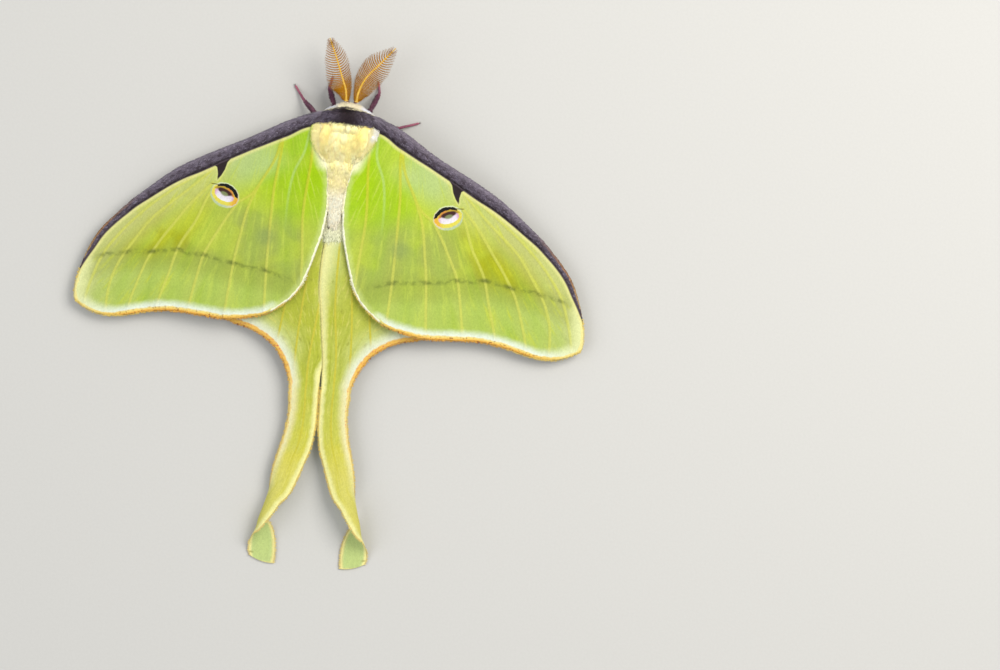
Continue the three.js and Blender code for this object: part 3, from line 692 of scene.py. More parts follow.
def make_hindwing_material():
    """The hindwings and tails: yellower down the tail, with a band and a golden line along every edge."""
    material, graph, shader = new_material("hindwing_and_tail", 0.72, **MEMBRANE)
    place = graph.place()
    margin, inner, along = graph.field("margin"), graph.field("inner"), graph.field("along")
    across = graph.field("across")
    down = graph.rise(along, -3.0, 14.0)
    colour = graph.mix(down, "a4aa37", "bfb73c")
    patches = graph.noise(place, 0.18, 2.0)
    colour = graph.tint(colour, graph.rise(patches, 0.42, 0.62, 0.0, 0.4), "abb258")
    low = graph.rise(along, 9.0, 16.0)
    colour = graph.tint(colour, low, "c2bb63", 0.7)
    shoulder = graph.times(graph.fall(margin, 1.5, 5.5), graph.fall(along, -8.0, -2.0))
    colour = graph.tint(colour, shoulder, "bbc381", 0.75)
    on_top = graph.field("on_top")
    pale_root = graph.times(graph.fall(along, -22.0, -12.0), graph.fall(inner, 1.5, 5.0))
    colour = graph.tint(colour, pale_root, "b7c281", graph.times(on_top, 0.7))
    streaks = graph.group(STREAKS, {
        "Across": across, "Along": along, "Per mm": 1.3, "Colour": colour,
        "Dark": graph.mix(down, "90982c", "b0aa2a"), "Light": "c5c063", "Amount": 0.65,
    })
    veins = graph.group(VEIN_LINES, {
        "Place": place, "Colour": streaks["Colour"], "Distance": graph.field("vein"),
        "Vein": "b5ae3a", "Width": 0.5, "Strength": graph.fall(along, 8.0, 20.0),
    })
    flecks = graph.noise(graph.stretched(graph.combine(across, along), (2.2, 0.5, 1.0)), 1.0, 3.0)
    flecks = graph.times(graph.rise(flecks, 0.62, 0.72), graph.fall(along, 0.0, 10.0))
    colour = graph.tint(veins["Colour"], flecks, "82842a", 0.5)
    spot = graph.field("hidden_spot")
    colour = graph.tint(colour, graph.fall(spot, 0.9, 1.3), "372e24", 0.8)
    colour = graph.tint(colour, graph.fall(spot, 0.5, 0.8), "d4cb9b", 0.9)
    on_tail = graph.rise(along, -4.0, 3.0)
    waist = graph.rise(along, 10.0, 17.0)
    golden = graph.mix(on_tail, "daac4f", "dbc77f")
    band = graph.mix(on_tail, "d1d5bc", "d7d09e")
    outer = graph.group(EDGE_BANDS, {
        "Place": place, "Colour": colour, "From edge": margin,
        "Line": graph.tint(golden, waist, "d7cc86"), "Line width": graph.rise(along, -6.0, 4.0, 0.7, 0.42),
        "Band": graph.tint(band, waist, "cbc67d"),
        "Band width": graph.rise(along, -6.0, 18.0, 2.1, 1.1), "Band strength": 0.95,
        "Freckle": "c06752", "Freckles": graph.fall(along, 4.0, 14.0),
    })
    seam = graph.group(EDGE_BANDS, {
        "Place": place, "Colour": outer["Colour"], "From edge": inner, "Line": "e0d88c",
        "Line width": 0.42, "Band": "d8d592",
        "Band width": graph.maths("MULTIPLY_ADD", graph.rise(along, -24.0, -5.0, 1.9, 0.0), on_top, 0.8),
        "Band strength": 0.9, "Freckle": "d8c779", "Freckles": 0.4,
    })
    wool = graph.fall(graph.field("body_gap"), 0.2, 4.0)
    colour = graph.tint(seam["Colour"], wool, "d8dab2", 0.85)
    mint = graph.times(graph.field("underside"), graph.rise(margin, 0.3, 0.8), graph.rise(inner, 0.3, 0.8))
    colour = graph.tint(colour, mint, "aabd79", 0.85)
    colour = graph.tint(colour, graph.fall(graph.field("corner"), 0.1, 0.7), "817b33", 0.6)
    grain = graph.group(SCALES, {"Place": place, "Colour": colour, **WING_SCALES})
    graph.feed(shader.inputs["Base Color"], grain["Colour"])
    height = graph.maths("MULTIPLY_ADD", veins["Height"], 0.8, graph.times(grain["Height"], 0.35))
    add_bump(graph, shader, graph.maths("ADD", height, streaks["Height"]), 0.5, 0.05)
    return material


def make_slate():
    """The mottled purple grey of the thick front veins and the collar."""
    tree, graph, given, out = new_group("slate_mottling", {"Place": "vector"}, {"Colour": "colour"})
    place = given["Place"]
    colour = graph.mix(graph.rise(graph.noise(place, 1.3, 3.0), 0.35, 0.65), "463b44", "625866")
    light = graph.rise(graph.noise(place, 4.0, 2.0), 0.54, 0.68, 0.0, 0.75)
    graph.feed(out.inputs["Colour"], graph.tint(colour, light, "898090"))
    return tree


SLATE = make_slate()


def make_costa_markings():
    """A thick front vein: paler along its outer edge, partly pale hairs and partly a painted highlight,
    dark on the inner one, partly painted shadow, and tan near its end.
    """
    tree, graph, given, out = new_group(
        "costa_markings", {"Place": "vector", "Round": "value", "Along": "value"}, {"Colour": "colour"})
    colour = graph.group(SLATE, {"Place": given["Place"]})["Colour"]
    around = graph.wavered(given["Round"], given["Place"], 1.5, 0.3)
    # a paler band along the outer edge: partly pale hairs, partly a painted highlight of the light from
    # above
    pale_and_lit_outer_edge = graph.times(graph.rise(around, 0.55, 0.9), graph.fall(given["Along"], 0.55, 0.8))
    colour = graph.tint(colour, pale_and_lit_outer_edge, "968c99", 0.5)
    # a dark strip along the inner edge: partly the band's own dark edge, partly painted shadow
    colour = graph.tint(colour, graph.fall(around, 0.02, 0.3), "2b2227")
    tan = graph.times(graph.rise(around, 0.56, 0.8), graph.rise(given["Along"], 0.6, 0.8))
    tan_colour = graph.mix(graph.rise(given["Along"], 0.78, 0.92), "9c7047", "c7a763")
    graph.feed(out.inputs["Colour"], graph.tint(colour, tan, tan_colour, 0.85))
    return tree


COSTA_MARKINGS = make_costa_markings()


def make_costa_material():
    """The skin under the front veins' scales."""
    material, graph, shader = new_material(
        "costa_slate", 0.6, Sheen_Weight=0.1, Sheen_Roughness=0.45, Specular_IOR_Level=0.25)
    place = graph.place()
    colour = graph.group(COSTA_MARKINGS, {
        "Place": graph.field("place", "Vector"), "Round": graph.field("round"),
        "Along": graph.field("along"),
    })["Colour"]
    grain = graph.group(SCALES, {"Place": place, "Colour": colour, "Scales per mm": 6.0, "Contrast": 0.4})
    graph.feed(shader.inputs["Base Color"], grain["Colour"])
    height = graph.maths("MULTIPLY_ADD", graph.noise(place, 3.0, 2.0), 0.6, grain["Height"])
    add_bump(graph, shader, height, 0.7, 0.06)
    return material




# ---- Wings ----
def fore_height(x, y):
    """Height of a forewing's middle surface."""
    outwards = np.exp(-np.power(np.abs(x) / 22, 1.5))
    return TIP_HEIGHT + (ROOT_HEIGHT - TIP_HEIGHT) * outwards * (1 - 0.35 * smoothstep(-y, 8, 34))


def hind_height(x, y):
    """Height of a hindwing's middle surface."""
    return fore_height(x, y) - WING_GAP - 1.7 * smoothstep(-y, 20, 40)


def band_width(share):
    """Width of the thick front vein at a share of the leading edge."""
    table = np.array(COSTA_WIDTHS)
    fine = np.linspace(-0.05, 1.05, 221)
    widths = np.convolve(np.interp(fine, table[:, 0], table[:, 1]), np.hanning(13) / 6, mode="same")
    return np.interp(share, fine, widths)


def tucked(x, name):
    """Draws a wing's tip in towards the body."""
    return x - TIP_TUCK[name] * smoothstep(x, 24, 38)


def fill_outline(outline):
    """Triangles over a closed plan outline, with points on a hexagonal grid inside it."""
    low, high = outline.min(0), outline.max(0)
    rows = np.arange(low[1], high[1], SHEET_STEP * 0.866)
    x, y = np.meshgrid(np.arange(low[0], high[0], SHEET_STEP), rows)
    x = x + (np.arange(len(rows)) % 2)[:, None] * SHEET_STEP / 2
    points = np.stack([x.ravel(), y.ravel()], 1)
    points = points[encloses(outline, points)]
    points = points[nearest(points, np.vstack([outline, outline[:1]]))[0] > SHEET_STEP * 0.6]
    corners = [Vector(p) for p in np.vstack([outline, points])]
    made = delaunay_2d_cdt(corners, [], [list(range(len(outline)))], 1, 1e-5)
    return np.array([tuple(v) for v in made[0]]), np.array(made[2])


class Unwrap:
    """Lays the top of a flat piece and its underside beside each other on the bake map."""

    def __init__(self, low, high, stacked):
        self.low = np.asarray(low, float)
        size = np.asarray(high, float) - self.low
        self.offset = np.array([0, size[1]]) if stacked else np.array([size[0], 0])
        whole = size + self.offset
        self.scale = 0.97 / whole.max()

    def at(self, flat, below=False):
        return (flat - self.low + self.offset * (1.01 if below else 0)) * self.scale + 0.01


def close_sheet(points, faces, rim, height, half, side):
    """A closed sheet over plan triangles: the two surfaces share their vertices on the rim.
    Gives its points, its faces, the plan point of each vertex, and which vertices lie below."""
    inner = np.flatnonzero(~rim)
    lower = np.arange(len(points))
    lower[inner] = len(points) + np.arange(len(inner))
    top = np.column_stack([points, height + half])
    bottom = np.column_stack([points[inner], (height - half)[inner]])
    faces = np.vstack([faces, lower[faces[:, ::-1]]])
    source = np.concatenate([np.arange(len(points)), inner])
    below = np.concatenate([np.zeros(len(points)), np.ones(len(inner))])
    sheet = np.vstack([top, bottom])
    sheet[:, 0] *= side
    return sheet, (faces if side > 0 else faces[:, ::-1]), source, below


def sheet_uv(unwrap, flat, faces, source, half_faces):
    """Corner places on the bake map: the first half_faces faces are the top, the others the underside."""
    corners = flat[source[faces]]
    corners[:half_faces] = unwrap.at(corners[:half_faces])
    corners[half_faces:] = unwrap.at(corners[half_faces:], below=True)
    return corners


def forewing_outline():
    """The whole edge, anticlockwise from the root, with the leading edge last."""
    edge = evenly(TRAILING_EDGE + LEADING_EDGE[::-1])
    return edge(np.linspace(0, 1, 420))


def forewing_fields(points):
    """What the wing's material reads at each plan point, in millimetres."""
    shares = np.linspace(0, 1, 160)
    trailing = through(TRAILING_EDGE)
    turn = HIND_ANGLE / (len(TRAILING_EDGE) - 1)
    tip = evenly(LEADING_EDGE)(np.linspace(1, 0.91, 12))
    margin_line = np.vstack([trailing(lerp(turn, 1, shares)), tip])
    leading_gap, leading_share = nearest(points, evenly(LEADING_EDGE)(shares))
    margin, margin_share = nearest(points, margin_line)
    crossing = through(POSTMEDIAL)(shares)
    away = points - EYESPOT
    axis = np.array([math.cos(EYESPOT_TILT), math.sin(EYESPOT_TILT)])
    stalk = np.vstack([STALK, STALK[:1]])
    pole = points - FAN_POLE
    return {
        "costa": leading_gap - band_width(leading_share),
        "margin": margin,
        "margin_share": margin_share,
        "inner": nearest(points, trailing(lerp(0, turn, shares)))[0],
        "vein": nearest_of(points, VEINS),
        "fold": nearest_of(points, FOLDS),
        "pleat": nearest_of(points, FOLDS[:1]),
        "line": points[:, 1] - np.interp(points[:, 0], crossing[:, 0], crossing[:, 1]),
        "line_shows": smoothstep(points[:, 0], 4, 9) * (1 - smoothstep(points[:, 0], 37.5, 41)),
        "stalk": nearest(points, stalk)[0] * np.where(encloses(np.array(STALK), points), -1, 1),
        "spot_across": away @ axis,
        "spot_up": away @ np.array([-axis[1], axis[0]]),
        "hidden_spot": np.linalg.norm(points - HIDDEN_SPOT, axis=1),
        "reach": np.linalg.norm(points - (3.7, 1.0), axis=1),
        "fan": 16 * np.arctan2(pole[:, 0], -pole[:, 1]),
        "body_gap": nearest(points, [(4.1, 3.8), (3.6, -1.2), (2.4, -4.4)])[0],
    }


def sheet_half(edge_gap):
    """Half the sheet's thickness, rounded off towards its edges."""
    return 0.02 + (SHEET_HALF - 0.02) * np.sqrt(np.clip(edge_gap / 0.6, 0, 1))


def forewing_relief(fields):
    """How the membrane rises along its veins and sinks in its folds, and ripples at the margin."""
    ridges = 0.1 * np.exp(-(fields["vein"] / 0.32) ** 2)
    pleats = -0.13 * np.exp(-(fields["fold"] / 0.7) ** 2) + 0.05 * smoothstep(fields["vein"], 0, 3)
    ripple = 0.12 * np.sin(fields["margin_share"] * 44) * np.exp(-fields["margin"] / 3.5)
    return ridges + pleats + ripple


def make_forewing(name, plan, material):
    """A forewing's sheet. Gives its upperside for coats to root in, and the edge that bears a fringe."""
    side = SIDES[name]
    points, faces = plan
    outline = forewing_outline()
    fields = forewing_fields(points)
    edge_gap = nearest(points, np.vstack([outline, outline[:1]]))[0]
    flat = np.column_stack([tucked(points[:, 0], name), points[:, 1]])
    height = fore_height(*flat.T) + forewing_relief(fields)
    half = sheet_half(edge_gap)
    sheet, shell, source, below = close_sheet(flat, faces, edge_gap < 1e-3, height, half, side)
    unwrap = Unwrap(points.min(0), points.max(0), stacked=True)
    uv = sheet_uv(unwrap, points, shell, source, len(faces))
    spread = {field: values[source] for field, values in fields.items()}
    spread["underside"] = below
    piece = make_piece(f"forewing_skin_{name}", turned(sheet), shell, material, uv, spread)
    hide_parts(f"forewing_{name}")
    return (sheet, shell[:len(faces)], uv[:len(faces)]), forewing_rim(name)


def rim_of(line, ups, tones):
    """An edge that a fringe grows from, with the wing on the left of its direction of travel."""
    outwards = unit(np.cross(np.gradient(line, axis=0), ups))
    ups = ups * np.where(ups[:, 2:] < 0, -1.0, 1.0)
    return line, outwards, ups, tones


def forewing_rim(name):
    """The outer edge from the inner angle to the tip; the tones say how golden its fringe is."""
    turn = HIND_ANGLE / (len(TRAILING_EDGE) - 1)
    tip = evenly(LEADING_EDGE)(np.linspace(1, 0.93, 12))
    flat = np.vstack([through(TRAILING_EDGE)(lerp(turn - 0.15, 1, np.linspace(0, 1, 200))), tip])
    share = np.linspace(0, 1, len(flat))
    flat[:, 0] = tucked(flat[:, 0], name)
    line = np.column_stack([flat, fore_height(*flat.T)])
    golden = 0.4 + 0.6 * smoothstep(share, 0.15, 0.3) * (1 - smoothstep(share, 0.5, 0.75))
    return [rim_of(line, upright(len(line)), golden * smoothstep(share, 0, 0.1))]


def hindwing_rims(rows, ups):
    """The outer edge of a hindwing and both edges of its tail."""
    flat = evenly(HIND_OUTER_EDGE)(np.linspace(1, 0.55, 120))
    line = np.column_stack([flat, hind_height(*flat.T)])
    golden = lerp(1.0, 0.4, smoothstep(-flat[:, 1], 38, 44))
    tones = np.linspace(0.4, 0.25, len(rows))
    return [
        rim_of(line, upright(len(line)), golden),
        rim_of(rows[::-1, -1], ups[::-1, -1], tones[::-1]),
        rim_of(rows[:, 0], ups[:, 0], tones),
    ]


def seam_curve(side):
    """The hindwing's inner edge in its own side's plan. The left one reaches under the right one."""
    shares = np.linspace(0, 1, 120)
    x, y, gap = evenly(HIND_SEAM)(shares).T
    lap = SEAM_LAP * smoothstep(-y, 14.5, 17) * (1 - smoothstep(-y, 36.5, 39.5)) if side < 0 else 0.0
    return np.column_stack([side * x + gap - lap, y])


def hindwing_fields(points, seam, outer):
    """What the hindwing's material reads at each plan point, in millimetres."""
    margin, inner = nearest(points, outer)[0], nearest(points, seam)[0]
    return {
        "margin": margin,
        "inner": inner,
        "across": 5 * inner / np.maximum(inner + margin, 0.01),
        "along": TAIL_START_Y - points[:, 1],
        "vein": nearest_of(points, HIND_VEINS),
        "hidden_spot": np.linalg.norm((points - HIDDEN_SPOT) * (1.0, 1.4), axis=1),
        "body_gap": nearest(points, [(0.8, -4), (0.8, -12), (0.2, -15)])[0],
        "corner": np.full(len(points), OFF_MAP),
    }


def swayed(points):
    """The hindwings hang a little to one side."""
    return swung(points, HIND_SWAY)


TAIL_VEINS = (0.56, -0.12)  # places of the tail's veins, from its inner edge at -1 to its outer edge at 1
TAIL_JOIN = 14  # rows over which the hindwing's surface goes over into the ribbon
TAIL_LENGTH = 31
TAIL_FOLD = 0.93  # where on the tail the ribbon's edge turns over
OFF_MAP = 9.0  # a distance, where what it is measured from lies out of reach


def tail_row(row, t, across):
    """The ribbon at one place down the tail: its middle, points, upward directions and width."""
    x, y, height, width, roll, cup = row(t)
    before, after = row(t - 0.01), row(t + 0.01)
    sinking = max(after[2], TAIL_REST) - max(before[2], TAIL_REST)
    along = Vector((after[0] - before[0], after[1] - before[1], sinking)).normalized()
    turn = Quaternion(along, -math.radians(min(roll, 180)))
    outwards = turn @ Vector((0, 0, 1)).cross(along).normalized()
    normal = along.cross(outwards)
    bend = max(cup, 1e-3)
    wide = width / 2 * np.sin(across * bend) / bend
    deep = width / 2 * (np.cos(across * bend) - math.cos(bend)) / bend
    back = -PADDLE_ROUNDING * smoothstep(t, 0.9, 1) * ((1 - across) / 2) ** 2
    centre = np.array([x, y, max(height, TAIL_REST)])
    ribbon = centre + np.outer(wide, outwards) + np.outer(deep, normal) + np.outer(back, along)
    facing = np.outer(np.sin(across * bend), outwards) + np.outer(np.cos(across * bend), normal)
    return centre, ribbon, facing, width


def tail_ribbon(name, seam_end, edge_line):
    """The tail's middle surface, as rows of points that start on the hindwing's last edge.
    Gives the points, their upward directions, half thicknesses, unrolled places and fields."""
    row = through(TAIL)
    across = np.linspace(-1, 1, TAIL_ACROSS + 1)
    even = np.ones_like(across)
    pivot = (TAIL[0][0], TAIL_START_Y)
    rows, ups, halves, flats, fields = [], [], [], [], []
    walked = 0.0
    previous = np.array([TAIL[0][0], TAIL_START_Y, TAIL[0][2]])
    for step in range(TAIL_STEPS + 1):
        t = step / TAIL_STEPS
        centre, ribbon, facing, width = tail_row(row, t, across)
        joined = smoothstep(step, 0, TAIL_JOIN)
        ribbon = swung(ribbon, TAIL_SPLAY[name] * joined, pivot)
        level_y = centre[1] if step else TAIL_START_Y
        level_x = lerp(seam_end, HIND_OUTER_EDGE[-1][0], (across + 1) / 2)
        level = np.column_stack([level_x, level_y * even, hind_height(level_x, level_y)])
        points = lerp(level, ribbon, joined)
        walked += np.linalg.norm(centre - previous)
        previous = centre
        margin, inner = (1 - across) / 2 * width, (1 + across) / 2 * width
        end = (1 - t) * TAIL_LENGTH + (1 - across) * 0.3
        margin = np.minimum(margin, np.where(t > 0.9, end, OFF_MAP))
        edge_gap = np.minimum(margin, inner) if step else nearest(level[:, :2], edge_line)[0]
        rows.append(points)
        ups.append(unit(lerp(np.array([0.0, 0.0, 1.0]), facing, joined)))
        halves.append(sheet_half(edge_gap))
        flats.append(np.column_stack([pivot[0] + across * width / 2, (TAIL_START_Y - walked) * even]))
        fields.append({
            "margin": margin,
            "inner": inner,
            "across": 2.5 * (across + 1),
            "along": walked * even,
            "vein": np.min([np.abs(across - place) for place in TAIL_VEINS], axis=0) * width / 2,
            "hidden_spot": OFF_MAP * even,
            "body_gap": OFF_MAP * even,
            "corner": np.hypot((t - TAIL_FOLD) * TAIL_LENGTH, (across + 0.8) * width / 2),
        })
    fields = {field: np.array([row_fields[field] for row_fields in fields]) for field in fields[0]}
    return np.array(rows), np.array(ups), np.array(halves), np.array(flats), fields


def ring_order(values):
    """Rows of points across a ribbon as closed rings: over the top and back along the underside."""
    return np.concatenate([values, values[:, -2:0:-1]], axis=1)


def hindwing_relief(points, fields, side):
    """How the hindwing rises along its veins, and at the seam, where the left one dips under the right."""
    relief = 0.08 * np.exp(-(fields["vein"] / 0.35) ** 2)
    beyond_wool = smoothstep(-points[:, 1], 14, 17)
    if side > 0:
        relief += 0.1 * np.exp(-((fields["inner"] - 0.7) / 0.5) ** 2) * beyond_wool
        relief -= 0.1 * np.exp(-(fields["inner"] / 0.4) ** 2) * beyond_wool
    else:
        relief -= 0.28 * (1 - smoothstep(fields["inner"], 0.5, 2.4)) * beyond_wool
    return relief * smoothstep(points[:, 1], TAIL_START_Y, TAIL_START_Y + 4)


def weld_tail(sheet, rings):
    """Triangles over a tail's rings and its blunt end, and the index of each ring point in the whole
    skin, whose sheet already holds the points of the first ring."""
    around = rings.shape[1]
    first = [np.argmin(np.linalg.norm(sheet - point, axis=1)) for point in rings[0]]
    index = np.concatenate([first, len(sheet) + np.arange(TAIL_STEPS * around)])
    quads = grid_faces(TAIL_STEPS + 1, around, closed=True)[:, [0, 3, 2, 1]]
    end = TAIL_STEPS * around
    caps = [(end + k, end + (around - k) % around, end + around - k - 1, end + k + 1)
            for k in range(TAIL_ACROSS)]
    triangles = halved(np.vstack([quads, np.array(caps)]))
    distinct = [len(set(face)) == 3 for face in index[triangles].tolist()]
    return triangles[distinct], index


def make_hindwing(name, material):
    """A hindwing and its tail as one skin. Gives its upperside and the edges that bear a fringe."""
    side = SIDES[name]
    seam = seam_curve(side)
    outer = evenly(HIND_OUTER_EDGE)(np.linspace(0, 1, 170))
    weld = lerp(seam[-1], outer[-1], np.linspace(0, 1, TAIL_ACROSS + 1)[:, None])
    edge_line = np.vstack([outer[::-1], seam])
    points, faces = fill_outline(np.vstack([seam[:-1], weld, outer[-2::-1]]))
    fields = hindwing_fields(points, seam, outer)
    edge_gap = nearest(points, edge_line)[0]
    height = hind_height(*points.T) + hindwing_relief(points, fields, side)
    half = sheet_half(edge_gap)
    sheet, shell, source, below = close_sheet(points, faces, edge_gap < 1e-3, height, half, 1)
    spread = {field: values[source] for field, values in fields.items()}

    rows, ups, halves, flats, tail_fields = tail_ribbon(name, seam[-1][0], edge_line)
    tops, bottoms = rows + ups * halves[..., None], rows - ups * halves[..., None]
    tops[:, [0, -1]] = bottoms[:, [0, -1]] = rows[:, [0, -1]]
    rings = np.concatenate([tops, bottoms[:, -2:0:-1]], axis=1)
    triangles, index = weld_tail(sheet, rings)

    low = np.minimum(points.min(0), flats.reshape(-1, 2).min(0))
    unwrap = Unwrap(low, points.max(0), stacked=False)
    uv = sheet_uv(unwrap, points, shell, source, len(faces))
    flat_rings = ring_order(flats).reshape(-1, 2)
    underneath = (triangles % rings.shape[1] > TAIL_ACROSS).any(1)
    tail_uv = unwrap.at(flat_rings[triangles])
    tail_uv[underneath] = unwrap.at(flat_rings[triangles[underneath]], below=True)
    everything = np.vstack([sheet, rings[1:].reshape(-1, 3)])
    everything[:, 0] *= side
    shell = np.vstack([shell, index[triangles]])
    uv = np.concatenate([uv, tail_uv])
    if side < 0:
        shell, uv = shell[:, ::-1], uv[:, ::-1]
    for field, values in tail_fields.items():
        spread[field] = np.concatenate([spread[field], ring_order(values)[1:].ravel()])
    ring_below = np.tile(np.concatenate([np.zeros(TAIL_ACROSS + 1), np.ones(TAIL_ACROSS - 1)]), TAIL_STEPS)
    spread["underside"] = np.concatenate([below, ring_below])
    spread["on_top"] = np.full(len(everything), float(side > 0))
    piece = make_piece(f"hindwing_skin_{name}", swayed(everything), shell, material, uv, spread)
    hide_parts(f"hindwing_{name}", f"tail_{name}", f"tail_tip_{name}")
    return (everything, shell[:len(faces)], uv[:len(faces)]), hindwing_rims(rows, ups)


def make_costa(name, material):
    """The thick front vein, which thins out towards the wing tip."""
    steps, around = 260, 28
    shares = np.linspace(0.004, 0.922, steps)
    edge = evenly(LEADING_EDGE)
    width = np.maximum(band_width(shares), 0.08)
    middle = beside(edge, shares, width / 2)
    sideways = unit(beside(edge, shares, width / 2 + 1) - middle)
    angles = angles_round(around)
    wide = np.cos(angles)[None, :] * width[:, None] / 2
    rise = np.sin(angles)[None, :] * width[:, None] / 2 * COSTA_FLATNESS
    x = middle[:, :1] + sideways[:, :1] * wide
    y = middle[:, 1:] + sideways[:, 1:] * wide
    x = tucked(x, name)
    centre_height = fore_height(tucked(middle[:, 0], name), middle[:, 1])
    points = np.stack([SIDES[name] * x, y, centre_height[:, None] + rise], -1)
    faces = grid_faces(steps, around, closed=True)
    if SIDES[name] > 0:
        faces = faces[:, ::-1]
    rows, columns = faces // around, faces % around
    seam = (columns == 0) & (columns.max(1, keepdims=True) == around - 1)
    uv = np.stack([(columns + seam * around) / around * 0.98 + 0.01, rows / (steps - 1) * 0.98 + 0.01], -1)
    points = points.reshape(-1, 3)
    fields = {
        "place": points,
        "round": np.tile((1 - np.cos(angles)) / 2, steps),
        "along": np.repeat(shares, around),
    }
    piece = make_piece(f"costa_skin_{name}", turned(points), faces, material, uv, fields)
    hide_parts(f"costa_{name}")
    return (points, halved(faces), halved(uv)), fields


# ---- Skins and coats of fine tufts ----
PATCH = 0.003  # a tuft's patch on the bake map


def loft_skin(rings):
    """A closed skin round rings of points: its points, triangles and unrolled corners."""
    rows, around = rings.shape[:2]
    last = (rows - 1) * around
    points = np.vstack([rings.reshape(-1, 3), rings[0].mean(0), rings[-1].mean(0)])
    quads = grid_faces(rows, around, closed=True)
    columns = quads % around
    columns = columns + around * ((columns == 0) & (columns.max(1, keepdims=True) == around - 1))
    flat = np.stack([columns, quads // around], -1).astype(float)
    faces, flat = halved(quads), halved(flat)
    k = np.arange(around)
    beyond = (k + 1) % around
    for tip, first, row, step in ((rows * around, 0, 0, -1), (rows * around + 1, last, rows - 1, 1)):
        ring = [first + beyond, first + k] if step < 0 else [first + k, first + beyond]
        faces = np.vstack([faces, np.column_stack([*ring, np.full(around, tip)])])
        places = [(k + 1, row), (k, row)] if step < 0 else [(k, row), (k + 1, row)]
        places.append((k + 0.5, row + step))
        cap = [np.column_stack([across, np.full(around, down)]) for across, down in places]
        flat = np.concatenate([flat, np.stack(cap, 1)])
    flat = (flat + (0, 1)) / (around, rows + 1) * 0.96 + 0.02
    a, b, c = (points[faces[:, corner]] for corner in range(3))
    if np.einsum("ij,ij->i", a - points[0], np.cross(b - points[0], c - points[0])).sum() < 0:
        faces, flat = faces[:, ::-1], flat[:, ::-1]
    return points, faces, flat


def skin_piece(name, skin, material, fields=None):
    """A piece from a skin that has the body's own bend."""
    points, faces, flat = skin
    return make_piece(name, turned(points), faces, material, flat, fields)


def tube_rings(path, radii, around=16, flatness=1.0):
    """Rings round a path that keep their own twist; flatness squeezes them from above."""
    path = np.asarray(path, float)
    along = unit(np.gradient(path, axis=0))
    side = unit(np.cross(along, (0, 0, 1)))
    up = np.cross(side, along)
    angles = angles_round(around)
    wide = side[:, None] * np.cos(angles)[None, :, None]
    tall = up[:, None] * np.sin(angles)[None, :, None] * flatness
    return path[:, None] + (wide + tall) * np.asarray(radii)[:, None, None]


def scatter(skin, count, rng, density=None):
    """Roots spread over a skin: their places, outward directions and places on its unwrap."""
    points, faces, flat = skin
    corners = points[faces]
    across = np.cross(corners[:, 1] - corners[:, 0], corners[:, 2] - corners[:, 0])
    area = np.linalg.norm(across, axis=1)
    weight = area if density is None else area * density(corners.mean(1), unit(across))
    picked = rng.choice(len(faces), count, p=weight / weight.sum())
    shares = rng.random((count, 2))
    shares[shares.sum(1) > 1] = 1 - shares[shares.sum(1) > 1]
    shares = np.column_stack([1 - shares.sum(1), shares])[..., None]
    roots = (corners[picked] * shares).sum(1)
    return roots, unit(across)[picked], (flat[picked] * shares).sum(1)


def along_surface(directions, normals):
    """The part of each direction that runs along the surface."""
    directions = np.broadcast_to(directions, normals.shape)
    return unit(directions - (directions * normals).sum(1, keepdims=True) * normals)


def tree_of(points):
    """A tree that finds the nearest of some points."""
    tree = KDTree(len(points))
    for i, point in enumerate(points):
        tree.insert(point, i)
    tree.balance()
    return tree


def find_locks(roots, count, rng):
    """Groups tufts into locks: the middle tuft of each one's lock, and how far out in it each lies,
    from 0 in its middle to 1 at its border."""
    centres = rng.choice(len(roots), count, replace=False)
    tree = tree_of(roots[centres])
    nearest_two = [tree.find_n(root, 2) for root in roots]
    chosen = centres[[pair[0][1] for pair in nearest_two]]
    return chosen, np.array([pair[0][2] / max(pair[1][2], 1e-6) for pair in nearest_two])


def gather(tips, roots, chosen, pull):
    """Draws the tips of each lock together."""
    shift = (tips[chosen] - roots[chosen]) - (tips - roots)
    spread = roots[chosen] - roots
    return tips + pull * (shift + spread * 0.6)


def blades(start, middle, tips, side, up, width, steps=3, sides=3, flatness=0.6, taper=0.7):
    """Bent tapering blades: points [blade, corner], one blade's faces, their places in a unit
    square, and the share of the length at each corner."""
    shares = np.linspace(0, 1, steps + 1)[:-1]
    angles = angles_round(sides)
    handed = np.einsum("ij,ij->i", np.cross(side, up), tips - start)
    side = side * np.where(handed < 0, -1.0, 1.0)[:, None]
    points = np.empty((len(start), steps * sides + 1, 3))
    for i, s in enumerate(shares):
        centre = (1 - s) ** 2 * start + 2 * s * (1 - s) * middle + s * s * tips
        for k, angle in enumerate(angles):
            offset = side * math.cos(angle) * 0.5 + up * math.sin(angle) * 0.5 * flatness
            points[:, i * sides + k] = centre + offset * width * (1 - s) ** taper
    points[:, -1] = tips
    faces, flat = [], []
    for i in range(steps):
        for k in range(sides):
            a, b = i * sides + k, i * sides + (k + 1) % sides
            left, right, low, high = k / sides, (k + 1) / sides, i / steps, (i + 1) / steps
            if i + 1 < steps:
                faces += [(a, b, b + sides), (a, b + sides, a + sides)]
                flat.append([(left, low), (right, low), (right, high)])
                flat.append([(left, low), (right, high), (left, high)])
            else:
                faces.append((a, b, steps * sides))
                flat.append([(left, low), (right, low), ((left + right) / 2, high)])
    return points, np.array(faces), np.array(flat), np.concatenate([np.repeat(shares, sides), [1.0]])


def repeated(faces, count, size):
    """One blade's faces for every blade of a coat."""
    return (faces[None] + (np.arange(count) * size)[:, None, None]).reshape(-1, 3)


